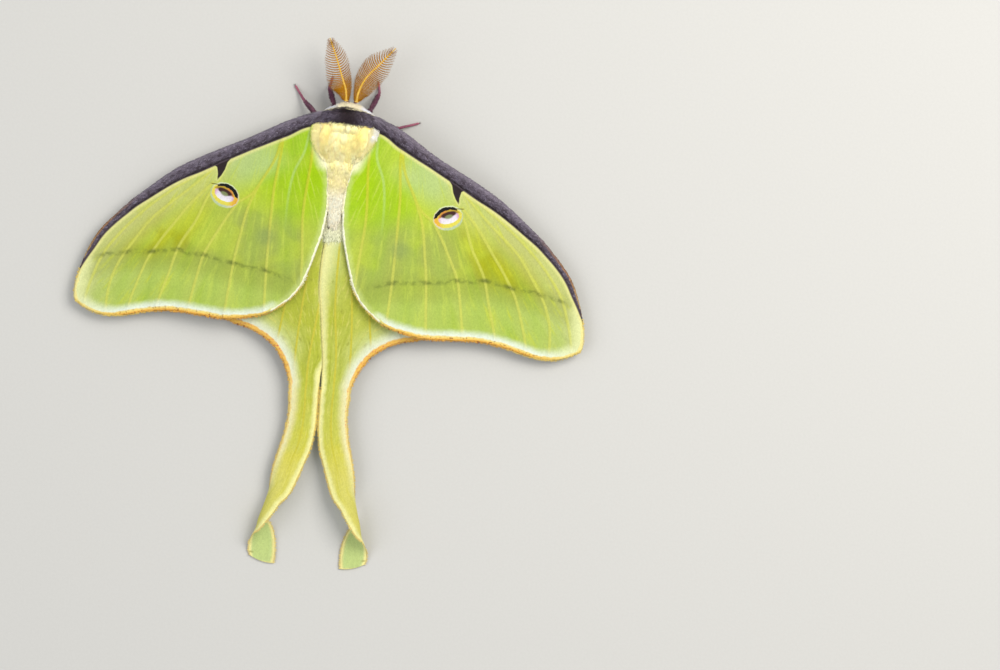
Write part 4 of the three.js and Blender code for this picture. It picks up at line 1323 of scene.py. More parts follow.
def grow_coat(name, material, rooted, lie, length, width, rng, lift=0.25, end_lift=0.05, yaw=0.2,
              clumps=0, pull=0.5, sink=0.1, steps=3, combed=True, fields=None, bent=turned):
    """A mesh of thin tapering tufts that leave their roots at a slant and lie along the surface.
    A combed coat is lit like the surface under it."""
    roots, normals, uv = rooted
    count = len(roots)
    lie = along_surface(lie, normals)
    side = np.cross(lie, normals)
    sway = rng.normal(0, yaw, (count, 1))
    lie = unit(lie * np.cos(sway) + side * np.sin(sway))
    side = unit(np.cross(lie, normals))
    length = np.broadcast_to(length, count)[:, None] * rng.uniform(0.75, 1.2, (count, 1))
    width = np.broadcast_to(width, count)[:, None] * rng.uniform(0.75, 1.25, (count, 1))
    lift = np.broadcast_to(lift, count)[:, None]
    start = roots - normals * sink
    middle = roots + length * 0.5 * unit(lie * (1 - lift) + normals * lift)
    tips = middle + length * 0.5 * unit(lie + normals * end_lift)
    border = np.zeros(count)
    if clumps:
        chosen, border = find_locks(roots, clumps, rng)
        tips = gather(tips, roots, chosen, pull)
        middle = gather(middle, roots, chosen, pull * 0.4)
    points, faces, flat, along = blades(start, middle, tips, side, normals, width, steps)
    size = points.shape[1]
    corners = uv[:, None, None, :] + (flat - 0.5)[None] * PATCH
    values = {
        "hair": np.tile(along, count),
        "strand": np.repeat(rng.random(count), size),
        "lock": np.repeat(border, size),
        "place": np.repeat(roots, size, axis=0),
    }
    for field, at_roots in (fields or {}).items():
        values[field] = np.repeat(at_roots, size, axis=0)
    shell = repeated(faces, count, size)
    piece = make_piece(name, bent(points.reshape(-1, 3)), shell, material, corners.reshape(-1, 2), values)
    if combed:
        facing = np.repeat(unit(normals + lie * 0.25), size, axis=0).reshape(-1, size, 3)
        lean = unit(points - points.mean(1, keepdims=True))
        facing = unit(facing + 0.6 * lean).reshape(-1, 3)
        piece.data.normals_split_custom_set_from_vertices(facing)
    return piece


# ---- Body ----
SPINE = [  # y and height of the line that the body's sections are measured from
    (5.8, 4.9), (4.0, 5.2), (2.0, 5.3), (-1.0, 5.2), (-4.0, 4.9), (-6.5, 4.1), (-9.0, 3.6), (-15.0, 3.2),
    (-20.0, 3.0), (-24.6, 2.7),
]
BODY_RINGS, BODY_AROUND = 190, 112
BEYOND = 14  # farther from the spine than any part of the body
BODY_NODES = {  # how deep the skin lies under each CAD form, as its coat is thick
    "thorax": 0.75, "tegula_left": 0.6, "tegula_right": 0.6, "collar": 0.5, "ruff": 0.6, "head": 0.25,
    "abdomen": 0.7, "eye_left": 0.5, "eye_right": 0.5,
}
CUSHIONS = [  # centre and radii of the wool that fills the gap between the wings
    ((0.0, 1.9, 7.2), (4.9, 1.3, 1.05)),
    ((0.0, -0.8, 6.9), (4.4, 3.6, 1.45)),
    ((0.0, -3.6, 6.4), (2.7, 3.6, 1.7)),
    ((0.0, -6.6, 6.3), (1.7, 4.6, 1.72)),
    ((0.0, -9.6, 6.3), (1.45, 5.0, 1.7)),
    ((0.0, -12.4, 6.5), (1.0, 3.0, 1.35)),
]
EYE_CENTRE = np.array([1.85, 4.25, 4.55])
EYE_RADII = np.array([0.85, 0.95, 1.1])


def unturned(points):
    """Takes the head's turn out of the CAD forms; turned() puts it back."""
    points = np.array(points, float)
    points[..., 0] -= HEAD_TURN * smoothstep(points[..., 1], -3, 5)
    return points


def node_shape(node):
    """A CAD node's points in the straight body's own millimetres, and its faces."""
    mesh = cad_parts[node].data
    points = np.zeros(len(mesh.vertices) * 3)
    mesh.vertices.foreach_get("co", points)
    return unturned(points.reshape(-1, 3) / MM - ORIGIN), [tuple(face.vertices) for face in mesh.polygons]


def ellipsoid(centre, radii, steps=24):
    """Points and faces of an ellipsoid."""
    down = np.linspace(0.02, math.pi - 0.02, steps)[:, None]
    round_it = (np.arange(steps * 2) * math.pi / steps)[None, :]
    across, ahead = np.sin(down) * np.cos(round_it), np.sin(down) * np.sin(round_it)
    ball = np.stack([across, ahead, np.cos(down + 0 * round_it)], -1)
    points = (ball * radii + centre).reshape(-1, 3)
    return points, grid_faces(steps, steps * 2, closed=True).tolist()


def softened(values, rounds):
    """A field on rings, smoothed along and round the body."""
    for _ in range(rounds):
        around = np.roll(values, 1, 1) + np.roll(values, -1, 1)
        padded = np.vstack([values[:1], values, values[-1:]])
        values = (values * 2 + around + padded[:-2] + padded[2:]) / 6
    return values


def hit_tree(points, faces):
    """A tree that says where a ray meets a form."""
    return BVHTree.FromPolygons(list(map(tuple, points)), list(map(tuple, faces)))


def make_body_skin():
    """One skin round head, thorax and abdomen, measured inwards from the CAD forms."""
    forms = [(hit_tree(*node_shape(node)), inset) for node, inset in BODY_NODES.items()]
    forms += [(hit_tree(*ellipsoid(*cushion)), 0.0) for cushion in CUSHIONS]
    share = np.linspace(0, 1, BODY_RINGS)
    front, back = SPINE[0][0], SPINE[-1][0]
    y = front + (back - front) * (share - 0.13 * np.sin(2 * np.pi * share) / np.pi)
    spine = np.array(SPINE)[::-1]
    z = np.interp(y, spine[:, 0], spine[:, 1])
    angles = angles_round(BODY_AROUND)
    radii = np.full((BODY_RINGS, BODY_AROUND), 0.12)
    for i in range(BODY_RINGS):
        centre = Vector((0, y[i], z[i]))
        for k, angle in enumerate(angles):
            out = Vector((math.cos(angle), 0, math.sin(angle)))
            for tree, inset in forms:
                distance = tree.ray_cast(centre + out * BEYOND, -out, BEYOND)[3]
                if distance is not None:
                    radii[i, k] = max(radii[i, k], BEYOND - distance - inset)
    radii = softened(radii, 9)
    ends = smoothstep(share, 0, 0.02) * (1 - smoothstep(share, 0.985, 1))
    radii = 0.06 + (radii - 0.06) * np.sqrt(ends)[:, None]
    rings = np.stack([
        radii * np.cos(angles),
        np.broadcast_to(y[:, None], radii.shape),
        z[:, None] + radii * np.sin(angles),
    ], -1)
    return loft_skin(rings)


def collar_place(points):
    """How far in front of the collar's middle line each point lies."""
    return points[:, 1] - (3.5 - 0.033 * points[:, 0] ** 2)


def off_eyes(points):
    """1 away from the eyes, 0 on them."""
    away = (points * np.array([0, 1, 1]) + np.abs(points) * np.array([1, 0, 0]) - EYE_CENTRE) / EYE_RADII
    return smoothstep(np.linalg.norm(away, axis=1), 1.0, 1.12)


def make_body_markings():
    """The colours of the body at a place: white face, dark collar, yellow thorax, white wool behind."""
    tree, graph, given, out = new_group("body_markings", {"Place": "vector"}, {"Colour": "colour"})
    x, y, z = graph.separate(given["Place"])
    bow = graph.times(x, x, 0.033)
    collar = graph.maths("SUBTRACT", graph.maths("ADD", y, bow), 3.5)
    collar = graph.wavered(collar, given["Place"], 1.2, 0.9)
    aside = graph.maths("ABSOLUTE", x)
    bump = graph.fall(graph.maths("ABSOLUTE", graph.maths("ADD", x, 0.3)), 0.2, 1.0)
    collar = graph.maths("SUBTRACT", collar, graph.times(bump, 0.22, graph.rise(collar, 0.0, 0.8)))
    patches = graph.noise(graph.stretched(given["Place"], (0.55, 0.3, 0.3)), 1.0, 2.0)
    colour = graph.mix(graph.rise(patches, 0.4, 0.6), "fff9c0", "fff2a0")
    shoulder = graph.times(graph.rise(aside, 1.4, 2.8), graph.rise(y, -1.5, 1.5))
    colour = graph.tint(colour, shoulder, "fee07a", 0.65)
    parting = graph.fall(graph.maths("ABSOLUTE", graph.maths("ADD", x, 0.12)), 0.05, 0.3)
    colour = graph.tint(colour, parting, "9c8c50", graph.rise(y, 1.4, 2.0, 0.0, 0.6))
    rear = graph.fall(y, -6.5, -3.5)
    colour = graph.tint(colour, graph.times(rear, graph.fall(aside, 0.8, 2.4)), "fff2a8")
    colour = graph.tint(colour, graph.fall(y, -10.0, -6.5), "fffbe2")
    wool = graph.rise(graph.noise(graph.stretched(given["Place"], (2.0, 0.2, 1.0)), 1.0), 0.5, 0.7)
    wool = graph.times(wool, graph.fall(y, -6.0, -4.0))
    colour = graph.tint(colour, wool, "ffe8c0", 0.45)
    wing_side = graph.times(graph.rise(aside, 3.6, 4.6), graph.rise(z, 6.0, 7.2))
    colour = graph.tint(colour, wing_side, "faf6d8", 0.8)
    below = graph.fall(z, 3.4, 5.2)
    colour = graph.tint(colour, below, "f3ead2", 0.85)
    dark = graph.times(graph.hump(collar, -1.15, -0.85, 0.8, 1.1), graph.rise(z, 4.8, 6.0))
    slate = graph.group(SLATE, {"Place": given["Place"]})["Colour"]
    plum = graph.mix(graph.rise(aside, 0.4, 2.6, 0.1, 0.95), "302326", slate)
    colour = graph.mix(dark, colour, plum)
    face = graph.mix(graph.rise(aside, 1.6, 3.0), "f3e6c4", "aaa2ad")
    face = graph.tint(face, graph.fall(z, 4.2, 5.4), "ede2cf")
    beside_ruff = graph.times(graph.rise(aside, 1.2, 2.6), graph.fall(collar, 1.3, 1.8))
    face = graph.tint(face, beside_ruff, "e6e6ee")
    in_front = graph.rise(collar, 0.85, 1.15)
    colour = graph.mix(in_front, colour, face)
    cheek = graph.times(graph.fall(z, 2.6, 3.6), graph.rise(y, 3.4, 4.4))
    colour = graph.tint(colour, cheek, "824d5f")
    graph.feed(out.inputs["Colour"], colour)
    return tree


BODY_MARKINGS = make_body_markings()


def marked_colour(graph, markings, fields):
    """The colour that a group of markings gives a surface; fields maps its other sockets to fields."""
    more = {socket: graph.field(field) for socket, field in fields.items()}
    return graph.group(markings, {"Place": graph.field("place", "Vector"), **more})["Colour"]


def make_skin_material(name, markings, fields=None):
    """A skin that carries its coat's markings, a little deeper, with a short nap."""
    material, graph, shader = new_material(name, 0.8, Sheen_Weight=0.2)
    colour = marked_colour(graph, markings, fields or {})
    place = graph.place()
    nap = graph.noise(graph.stretched(place, (6.0, 2.0, 6.0)), 1.0, 3.0)
    deeper = graph.tint(colour, graph.rise(nap, 0.3, 0.7, 0.1, 0.0), "a08a5a")
    graph.feed(shader.inputs["Base Color"], deeper)
    add_bump(graph, shader, nap, 0.8, 0.12)
    return material


def finish_hair(graph, shader, colour, depth, variety):
    """Darkens tufts towards their roots with painted shade, by depth, and varies their tone from one to the
    next, by variety.
    """
    toned = graph.group(HAIR_TONE, {
        "Colour": colour, "Along": graph.field("hair"), "Strand": graph.field("strand"),
        "Depth": depth, "Variety": variety,
    })
    graph.feed(shader.inputs["Base Color"], toned["Colour"])


HAIR_SHINE = {"Sheen_Weight": 0.1, "Sheen_Roughness": 0.4, "Specular_IOR_Level": 0.2}


def make_hair_material(name, markings, depth, variety, fields=None, border=None):
    """A coat in its skin's markings, with painted shade towards the tufts' roots by depth. The borders of
    its locks may be tinted.
    """
    material, graph, shader = new_material(name, 0.6, **HAIR_SHINE)
    colour = marked_colour(graph, markings, fields or {})
    if border:
        colour = graph.tint(colour, graph.rise(graph.field("lock"), 0.6, 1.0, 0.0, 0.5), border)
    finish_hair(graph, shader, colour, depth, variety)
    return material


def raised(rooted, share):
    """Roots whose outward directions are turned towards the sky."""
    roots, normals, places = rooted
    return roots, unit(normals + np.array([0.0, 0.0, share])), places


def backwards(rooted, spread=-0.12):
    """Directions that run back along the body and spread to its sides."""
    x = rooted[0][:, 0]
    return np.column_stack([spread * x, -np.ones_like(x), np.zeros_like(x)])


def grow_thorax_wool(skin, rng):
    """Yellow wool in two layers, the upper one in broad locks."""
    def on_thorax(p, n):
        return (collar_place(p) < -1.05) * (p[:, 1] > -7.2) * (0.35 + 0.65 * (p[:, 2] > 4.5))

    golden = make_hair_material("thorax_hair", BODY_MARKINGS, 0.0, 0.06, border="fcdc90")
    layers = (("under", 0.2, 0.12, 900, 0.5), ("over", 0.18, 0.18, 130, 0.65))
    for layer, width, lift, clumps, pull in layers:
        rooted = raised(scatter(skin, 9500, rng, on_thorax), 0.8)
        length = 1.4 + 0.5 * smoothstep(-rooted[0][:, 1], -1, 4)
        grow_coat(f"thorax_wool_{layer}", golden, rooted, backwards(rooted), length, width,
                  rng, lift=lift, end_lift=0.05, clumps=clumps, pull=pull)


def grow_collar_scales(skin, rng):
    """Short tufts that stand up in the slate and plum collar."""
    def on_collar(p, n):
        return (np.abs(collar_place(p)) < 1.15) * (p[:, 2] > 4.6) * (n[:, 2] > -0.2)

    dark_hair = make_hair_material("collar_hair", BODY_MARKINGS, 0.25, 0.7)
    rooted = scatter(skin, 7500, rng, on_collar)
    length = lerp(0.85, 0.5, smoothstep(np.abs(rooted[0][:, 0]), 2.0, 4.2))
    grow_coat("collar_scales", dark_hair, rooted, backwards(rooted, 0.5), length, 0.13, rng,
              lift=0.4, end_lift=0.25, clumps=300, pull=0.6)


def grow_pale_wool(skin, rng):
    """The cream wool of face, throat and abdomen."""
    hair = make_hair_material("body_hair", BODY_MARKINGS, 0.05, 0.14)

    def on_face(p, n):
        return (collar_place(p) > 0.75) * off_eyes(p) * (p[:, 1] > 2.6)

    rooted = scatter(skin, 6500, rng, on_face)
    at = rooted[0]
    forwards = np.column_stack([0.22 * at[:, 0], np.ones(len(at)), 0.25 * (at[:, 2] - 6.4)])
    length = 0.45 + 0.45 * smoothstep(at[:, 2], 5.4, 6.6) * (1 - smoothstep(np.abs(at[:, 0]), 1.2, 2.6))
    grow_coat("face_wool", hair, rooted, forwards, length, 0.075, rng,
              lift=0.4, end_lift=0.2, clumps=420, pull=0.5)

    def under_collar(p, n):
        return (collar_place(p) > -1.0) * (collar_place(p) < 1.2) * (p[:, 2] < 4.9) * off_eyes(p)

    rooted = scatter(skin, 1800, rng, under_collar)
    grow_coat("throat_wool", hair, rooted, backwards(rooted), 0.8, 0.1, rng, clumps=120)

    def on_abdomen(p, n):
        return (p[:, 1] < -6.0) * np.ones(len(p))

    rooted = scatter(skin, 6500, rng, on_abdomen)
    grow_coat("abdomen_wool", hair, rooted, backwards(rooted), 1.3, 0.12, rng,
              lift=0.25, end_lift=0.1, clumps=420, pull=0.4)


def grow_ridge_wool(skin, rng):
    """Long pale wool on the ridge between the wings."""
    def on_ridge(p, n):
        narrow = np.abs(p[:, 0]) < lerp(1.6, 0.9, smoothstep(-p[:, 1], 7, 12))
        from_thorax = smoothstep(-p[:, 1], 3.8, 6.4)
        return narrow * from_thorax * (p[:, 2] > 5.8) * (1 - smoothstep(-p[:, 1], 12.5, 15.2))

    roots, _, places = scatter(skin, 7000, rng, on_ridge)
    rooted = roots, upright(len(roots)), places
    pale = make_hair_material("ridge_hair", BODY_MARKINGS, 0.0, 0.08, border="ffe9bc")
    length = lerp(1.5, 1.0, smoothstep(-roots[:, 1], 6, 11))
    grow_coat("ridge_wool", pale, rooted, backwards(rooted, 0.12), length, 0.16, rng,
              lift=0.3, end_lift=0.0, clumps=200, pull=0.5)


def make_body(rng):
    """The body's one skin and its coats."""
    skin = make_body_skin()
    material = make_skin_material("body_skin", BODY_MARKINGS)
    body = skin_piece("body_skin", skin, material, {"place": skin[0]})
    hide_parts("thorax", "collar", "ruff", "head", "abdomen", "tegula_left", "tegula_right")
    grow_thorax_wool(skin, rng)
    grow_collar_scales(skin, rng)
    grow_pale_wool(skin, rng)
    grow_ridge_wool(skin, rng)


# ---- Wool at the roots of the wings ----
WING_FOOT = [(4.2, 3.8), (4.0, 0.2), (3.1, -2.2), (1.6, -4.4), (1.15, -7.0), (1.05, -12.0)]


def make_wing_wool_material():
    """Cream wool that turns yellow-green where it runs out over the wing, with white locks in front."""
    material, graph, shader = new_material("wing_wool", 0.6, **HAIR_SHINE)
    x, y, _ = graph.separate(graph.field("place", "Vector"))
    gap = graph.field("foot_gap")
    body = graph.mix(graph.fall(y, -5.0, -1.0), "fff0a8", "fff6cc")
    colour = graph.tint(body, graph.rise(gap, 0.3, 1.1), "cfd95c")
    colour = graph.tint(colour, graph.fall(y, -17.0, -11.5), "f4f4cc")
    white = graph.times(graph.rise(x, 3.6, 4.4), graph.rise(y, 0.2, 1.0))
    colour = graph.tint(colour, white, "fdf9ea")
    finish_hair(graph, shader, colour, 0.08, 0.14)
    return material


def make_costa_scales(name, skin, fields, material, rng):
    """Short scale tufts all over a thick front vein, longest beside the collar."""
    side = SIDES[name]

    def at_faces(p, n):
        return 0.4 + 0.6 * (n[:, 2] > -0.3)

    rooted = scatter(skin, 7000, rng, at_faces)
    tree = tree_of(skin[0])
    nearest_point = [tree.find(root)[1] for root in rooted[0]]
    along, around = fields["along"][nearest_point], fields["round"][nearest_point]
    length = lerp(0.42, 1.0, 1 - smoothstep(along, 0.01, 0.1)) * (1 - 0.5 * smoothstep(along, 0.6, 0.9))
    fields = {"round": around, "along": along}
    grow_coat(f"costa_scales_{name}", material, rooted, (side, -0.75, 0.0), length, 0.12, rng,
              lift=0.3, end_lift=0.1, clumps=900, pull=0.4, sink=0.03, fields=fields)


FRINGE_PER_MM = 20


def make_fringe(name, rims, bent, material, rng):
    """Short scales that stick out a little past the edges of a wing."""
    side = SIDES[name.split("_")[1]]
    roots, lies, normals, places, tones = [], [], [], [], []
    for i, (line, outwards, ups, tone) in enumerate(rims):
        walked = np.concatenate([[0], np.cumsum(np.linalg.norm(np.diff(line, axis=0), axis=1))])
        count = int(walked[-1] * FRINGE_PER_MM)
        at = rng.random(count) * walked[-1]

        def spread(values):
            """Values of the rim's points, at the tufts' places."""
            values = np.asarray(values)
            columns = values[:, None] if values.ndim == 1 else values
            return np.column_stack([np.interp(at, walked, column) for column in columns.T])

        lie = unit(spread(outwards))
        roots.append(spread(line) - lie * rng.uniform(0.02, 0.22, (count, 1)) + spread(ups) * 0.04)
        lies.append(lie)
        normals.append(unit(spread(ups)))
        strip = (i + rng.uniform(0.08, 0.92, count)) / len(rims)
        places.append(np.column_stack([0.02 + 0.96 * at / walked[-1], strip]))
        tones.append(spread(tone)[:, 0])
    mirror = (side, 1, 1)
    roots, lies, normals = (np.concatenate(part) * mirror for part in (roots, lies, normals))
    rooted = roots, normals, np.concatenate(places)
    grow_coat(f"fringe_{name}", material, rooted, lies, 0.34, 0.13, rng, lift=0.05, end_lift=-0.05,
              yaw=0.15, sink=0.0, steps=2, combed=False, fields={"tone": np.concatenate(tones)}, bent=bent)


def make_fringe_material():
    """The fringe: cream on the inner edges and at the tips, golden along the outer edges."""
    material, graph, shader = new_material("wing_fringe", 0.7, Specular_IOR_Level=0.2)
    tone = graph.field("tone")
    colour = graph.mix(graph.rise(tone, 0.0, 0.4), "ddd9b4", "d9bd62")
    colour = graph.tint(colour, graph.rise(tone, 0.5, 1.0), "d6a044")
    freckle = graph.rise(graph.noise(graph.field("place", "Vector"), 2.2, 2.0), 0.56, 0.64)
    colour = graph.tint(colour, graph.times(freckle, graph.rise(tone, 0.6, 1.0)), "8e542b")
    finish_hair(graph, shader, colour, 0.0, 0.2)
    return material


def make_wing_wool(name, forewing, hindwing, material, rng):
    """Wool over the seams between body and wings, and between the hindwings' inner edges."""
    side = SIDES[name]

    def foot_gap(points):
        return nearest(points[:, :2] * (side, 1), WING_FOOT)[0]

    def on_forewing(p, n):
        gap = foot_gap(p)
        outer = lerp(1.25, 0.4, smoothstep(-p[:, 1], -1, 5))
        return np.clip(1 - gap / outer, 0, 1) ** 0.8 * (p[:, 1] < 2.6) * (1 - smoothstep(-p[:, 1], 8, 14))

    rooted = scatter(forewing, 3600, rng, on_forewing)
    at = rooted[0]
    outwards = side * lerp(0.5, -0.25, smoothstep(-at[:, 1], -1.5, 4.0))
    lie = np.column_stack([outwards, -np.ones(len(at)), np.zeros(len(at))])
    length = lerp(1.4, 0.8, smoothstep(-at[:, 1], 0, 6)) * (1 - 0.35 * smoothstep(foot_gap(at), 0.3, 1.2))
    grow_coat(f"wing_wool_{name}", material, rooted, lie, length, 0.13, rng, lift=0.28,
              end_lift=0.05, clumps=260, pull=0.5, sink=0.05, fields={"foot_gap": foot_gap(at)})

    def on_hindwing(p, n):
        inner = np.abs(p[:, 0] + 0.3)
        return np.clip(1 - inner / 2.4, 0, 1) * (1 - smoothstep(-p[:, 1], 12.5, 17.5)) * (p[:, 1] < -5)

    rooted = raised(scatter(hindwing, 3000, rng, on_hindwing), 0.8)
    at = rooted[0]
    grow_coat(f"seam_wool_{name}", material, rooted, (-0.1 * side, -1.0, 0.0),
              lerp(1.6, 0.9, smoothstep(-at[:, 1], 11, 15)), 0.12, rng, lift=0.3, end_lift=0.0,
              clumps=150, pull=0.4, sink=0.05,
              fields={"foot_gap": 0.0 * at[:, 0]})


# ---- Antennae ----
# The stem's points, and how far the branches reach inwards and outwards beside them.
ANTENNAE = {
    "left": {
        "stem": [(0.75, 6.05, 5.2), (0.95, 7.8, 5.6), (1.7, 9.7, 6.0), (3.1, 13.2, 6.5), (4.4, 16.1, 6.8)],
        "inner": (0.35, 0.9, 1.5, 1.7, 0.3),
        "outer": (0.35, 1.8, 2.6, 1.9, 0.3),
    },
    "right": {
        "stem": [(0.95, 6.05, 5.2), (1.2, 7.8, 5.6), (2.2, 10.1, 6.0), (4.2, 12.5, 6.4), (6.7, 15.5, 6.8)],
        "inner": (0.35, 0.9, 1.8, 2.2, 0.3),
        "outer": (0.35, 1.8, 2.5, 2.2, 0.3),
    },
}
BRANCH_PAIRS = 36
BRANCH_WIDTH = 0.17
BRISTLES = 17  # on each side of a branch
BRISTLE_WIDTH = 0.035
STRIP = 0.06  # the stem's strip on the bake map


def make_antenna_material():
    """Golden branches, darker towards their tips, on a paler scaled stem."""
    material, graph, shader = new_material("antenna_gold", 0.6, Specular_IOR_Level=0.15)
    place = graph.place()
    along = graph.field("hair")
    colour = graph.mix(graph.rise(along, 0.0, 0.9), "c68d12", "ac780e")
    tone = graph.mix(graph.field("strand"), "e6cf9e", "f6f2ea")
    colour = graph.mix(0.8, colour, tone, "MULTIPLY")
    stem = graph.mix(graph.rise(graph.noise(place, 5.0), 0.35, 0.65), "cf9d30", "dbb658")
    colour = graph.mix(graph.field("stem"), colour, stem)
    grain = graph.group(SCALES, {"Place": place, "Colour": colour, "Scales per mm": 14.0, "Contrast": 0.25})
    graph.feed(shader.inputs["Base Color"], grain["Colour"])
    add_bump(graph, shader, grain["Height"], 0.5, 0.02)
    return material


def make_stem(centre):
    """The knotted stem of a feeler, thickest at its root."""
    shares = np.linspace(0, 0.985, 90)
    knots = 1 + 0.14 * np.cos(shares * BRANCH_PAIRS * 2 * math.pi)
    radii = lerp(0.26, 0.09, shares ** 0.7) * knots
    radii[:6] *= (1.5, 1.55, 1.5, 1.3, 1.15, 1.05)
    points, faces, flat = loft_skin(tube_rings(centre(shares), radii, 12))
    return points, faces, flat * (STRIP, 1.0)


def lay_branches(plan, centre, rng):
    """Where the branches start, bulge and end, their directions along the stem, and their places on
    the bake map. Each side has an upper row and a lower one."""
    reach = through(np.column_stack([plan["inner"], plan["outer"]]))

    def frame_at(t):
        middle = centre(t)
        along = unit(centre(t + 0.01) - centre(t - 0.01))
        out = unit(np.cross(along, (0, 0, 1)))
        return middle, along, out

    at = np.linspace(0.03, 0.9, BRANCH_PAIRS)
    rows = []
    for sign, column in ((1, 1), (-1, 0)):
        for row, (shift, droop) in enumerate(((0.0, 0.16), (0.14, -0.16))):
            t = at + shift * (at[1] - at[0])
            begin, along, out = frame_at(t)
            ahead = np.minimum(t + 0.035 + 0.045 * t, 1.0)
            end, _, end_out = frame_at(ahead)
            far = reach(ahead)[:, column] * rng.uniform(0.96, 1.02, len(t))
            tip = end + sign * end_out * far[:, None] + np.array([0, 0, droop])
            bulge = begin + sign * out * far[:, None] * 0.55 + np.array([0, 0, droop * 1.6])
            cell = 2 * (sign > 0) + row
            down = 0.01 + np.arange(len(t)) / len(t) * 0.97
            place = np.column_stack([STRIP + 0.02 + cell * 0.23 + 0 * t, down])
            rows.append((begin, bulge, tip, along, place))
    return tuple(np.concatenate(part) for part in zip(*rows))


def lay_bristles(start, middle, tip, corner, rng):
    """Bristles on both sides of each branch: their blades and their places on the bake map."""
    s = np.linspace(0.1, 0.97, BRISTLES)[None, :, None]
    on = (1 - s) ** 2 * start[:, None] + 2 * s * (1 - s) * middle[:, None] + s * s * tip[:, None]
    ahead = unit(2 * (1 - s) * (middle - start)[:, None] + 2 * s * (tip - middle)[:, None])
    beside_it = unit(np.cross(ahead, (0.0, 0.0, 1.0)))
    roots = np.concatenate([on, on], 1).reshape(-1, 3)
    leave = np.concatenate([beside_it, -beside_it], 1).reshape(-1, 3)
    ahead = np.concatenate([ahead, ahead], 1).reshape(-1, 3)
    long = 0.26 * rng.uniform(0.7, 1.2, (len(roots), 1))
    ends = roots + long * unit(leave + 0.55 * ahead + rng.normal(0, 0.12, roots.shape))
    points, faces, flat, _ = blades(
        roots, (roots + ends) / 2, ends, ahead, upright(len(roots)), BRISTLE_WIDTH, 1, 3, 1.0)
    out_along = np.tile(np.tile(s.ravel(), 2), len(start)) * 0.2
    root_uv = np.repeat(corner, 2 * BRISTLES, axis=0) + np.column_stack([out_along, 0 * out_along])
    return points, faces, root_uv[:, None, None] + (flat - 0.5)[None] * PATCH


def make_antenna(name, material, rng):
    """A feathered antenna: a stem with two rows of branches a side, each fringed with bristles."""
    side = SIDES[name]
    centre = through(ANTENNAE[name]["stem"])
    stem, stem_faces, stem_uv = make_stem(centre)
    start, middle, tip, along, corner = lay_branches(ANTENNAE[name], centre, rng)
    count = len(start)
    branch, branch_faces, flat, share = blades(
        start, middle, tip, along, upright(count), BRANCH_WIDTH, 7, 4, 1.0, 0.35)
    branch_uv = corner[:, None, None] + flat[None, ..., ::-1] * (0.2, 0.8 / BRANCH_PAIRS)
    branch_strand = rng.random(count)
    bristle, bristle_faces, bristle_uv = lay_bristles(start, middle, tip, corner, rng)
    bristle_strand = rng.random(len(bristle))
    size, bristle_size = branch.shape[1], bristle.shape[1]
    shell = np.vstack([
        stem_faces,
        len(stem) + repeated(branch_faces, count, size),
        len(stem) + count * size + repeated(bristle_faces, len(bristle), bristle_size),
    ])
    everything = np.vstack([stem, branch.reshape(-1, 3), bristle.reshape(-1, 3)]) * (side, 1, 1)
    uv = np.concatenate([part.reshape(-1, 2) for part in (stem_uv, branch_uv, bristle_uv)])
    uv = uv.reshape(-1, 3, 2)
    if side < 0:
        shell, uv = shell[:, ::-1], uv[:, ::-1]
    on_stem = np.zeros(len(stem))
    fields = {
        "hair": np.concatenate([on_stem, np.tile(share, count), np.ones(len(bristle) * bristle_size)]),
        "strand": np.concatenate([
            on_stem, np.repeat(branch_strand, size), np.repeat(bristle_strand, bristle_size)]),
        "stem": np.concatenate([np.ones(len(stem)), np.zeros(len(everything) - len(stem))]),
    }
    piece = make_piece(f"antenna_feather_{name}", turned(everything), shell, material, uv, fields)
    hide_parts(f"antenna_{name}")


# ---- Legs, palps and eyes ----
# Hip, knee, ankle and toe of each leg.
LEGS = {
    "foreleg_left": [(1.5, 2.4, 2.0), (2.9, 5.6, 2.8), (4.0, 8.3, 1.3), (3.7, 10.2, 0)],
    "foreleg_right": [(1.5, 2.4, 2.0), (3.3, 5.2, 2.8), (4.4, 8.2, 1.3), (4.0, 10.1, 0)],
    "midleg_left": [(2.4, 0.8, 2.2), (5.6, 3.5, 3.6), (8.0, 5.8, 1.2), (9.8, 8.2, 0)],
    "midleg_right": [(2.4, 0.8, 2.2), (5.4, 1.5, 3.6), (8.4, 2.8, 1.2), (11.5, 4.0, 0)],
    "hindleg_left": [(2.2, -2.6, 2.2), (5.0, -4.6, 3.6), (7.4, -8, 1.2), (9.2, -11, 0)],
    "hindleg_right": [(2.2, -2.6, 2.2), (5.0, -4.6, 3.6), (7.4, -8, 1.2), (9.2, -11, 0)],
}
# Radii of each part of a leg: its start, its middle and its end.
LEG_RADII = ((0.62, 0.56, 0.4), (0.38, 0.42, 0.3), (0.25, 0.21, 0.19))
JOINT_PINCH = 0.62
TOE_SOLE = 0.9  # the last stretch of a foot, which lies flat
TOE_HEIGHT = 0.27
LEG_AROUND = 16


def make_leg_markings():
    """Plum legs that turn pink towards the feet, paler at the joints."""
    tree, graph, given, out = new_group(
        "leg_markings", {"Place": "vector", "Down leg": "value"}, {"Colour": "colour"})
    down = given["Down leg"]
    blotch = graph.noise(given["Place"], 1.8, 2.0)
    colour = graph.mix(graph.rise(blotch, 0.35, 0.65), "451a35", "5e2845")
    colour = graph.tint(colour, graph.rise(down, 1.55, 2.05), "7a3853")
    colour = graph.tint(colour, graph.rise(down, 2.2, 2.9), "9a5268")
    joint = graph.fall(graph.maths("ABSOLUTE", graph.maths("SUBTRACT", down, 1.0)), 0.02, 0.12)
    colour = graph.tint(colour, joint, "8a5f70", 0.35)
    hip = graph.fall(down, 0.15, 0.5)
    graph.feed(out.inputs["Colour"], graph.tint(colour, hip, "b59d93"))
    return tree


LEG_MARKINGS = make_leg_markings()


def pinched(whole):
    """How narrow a leg is near a joint that lies where whole is 0."""
    return np.exp(-(whole / 0.07) ** 2)


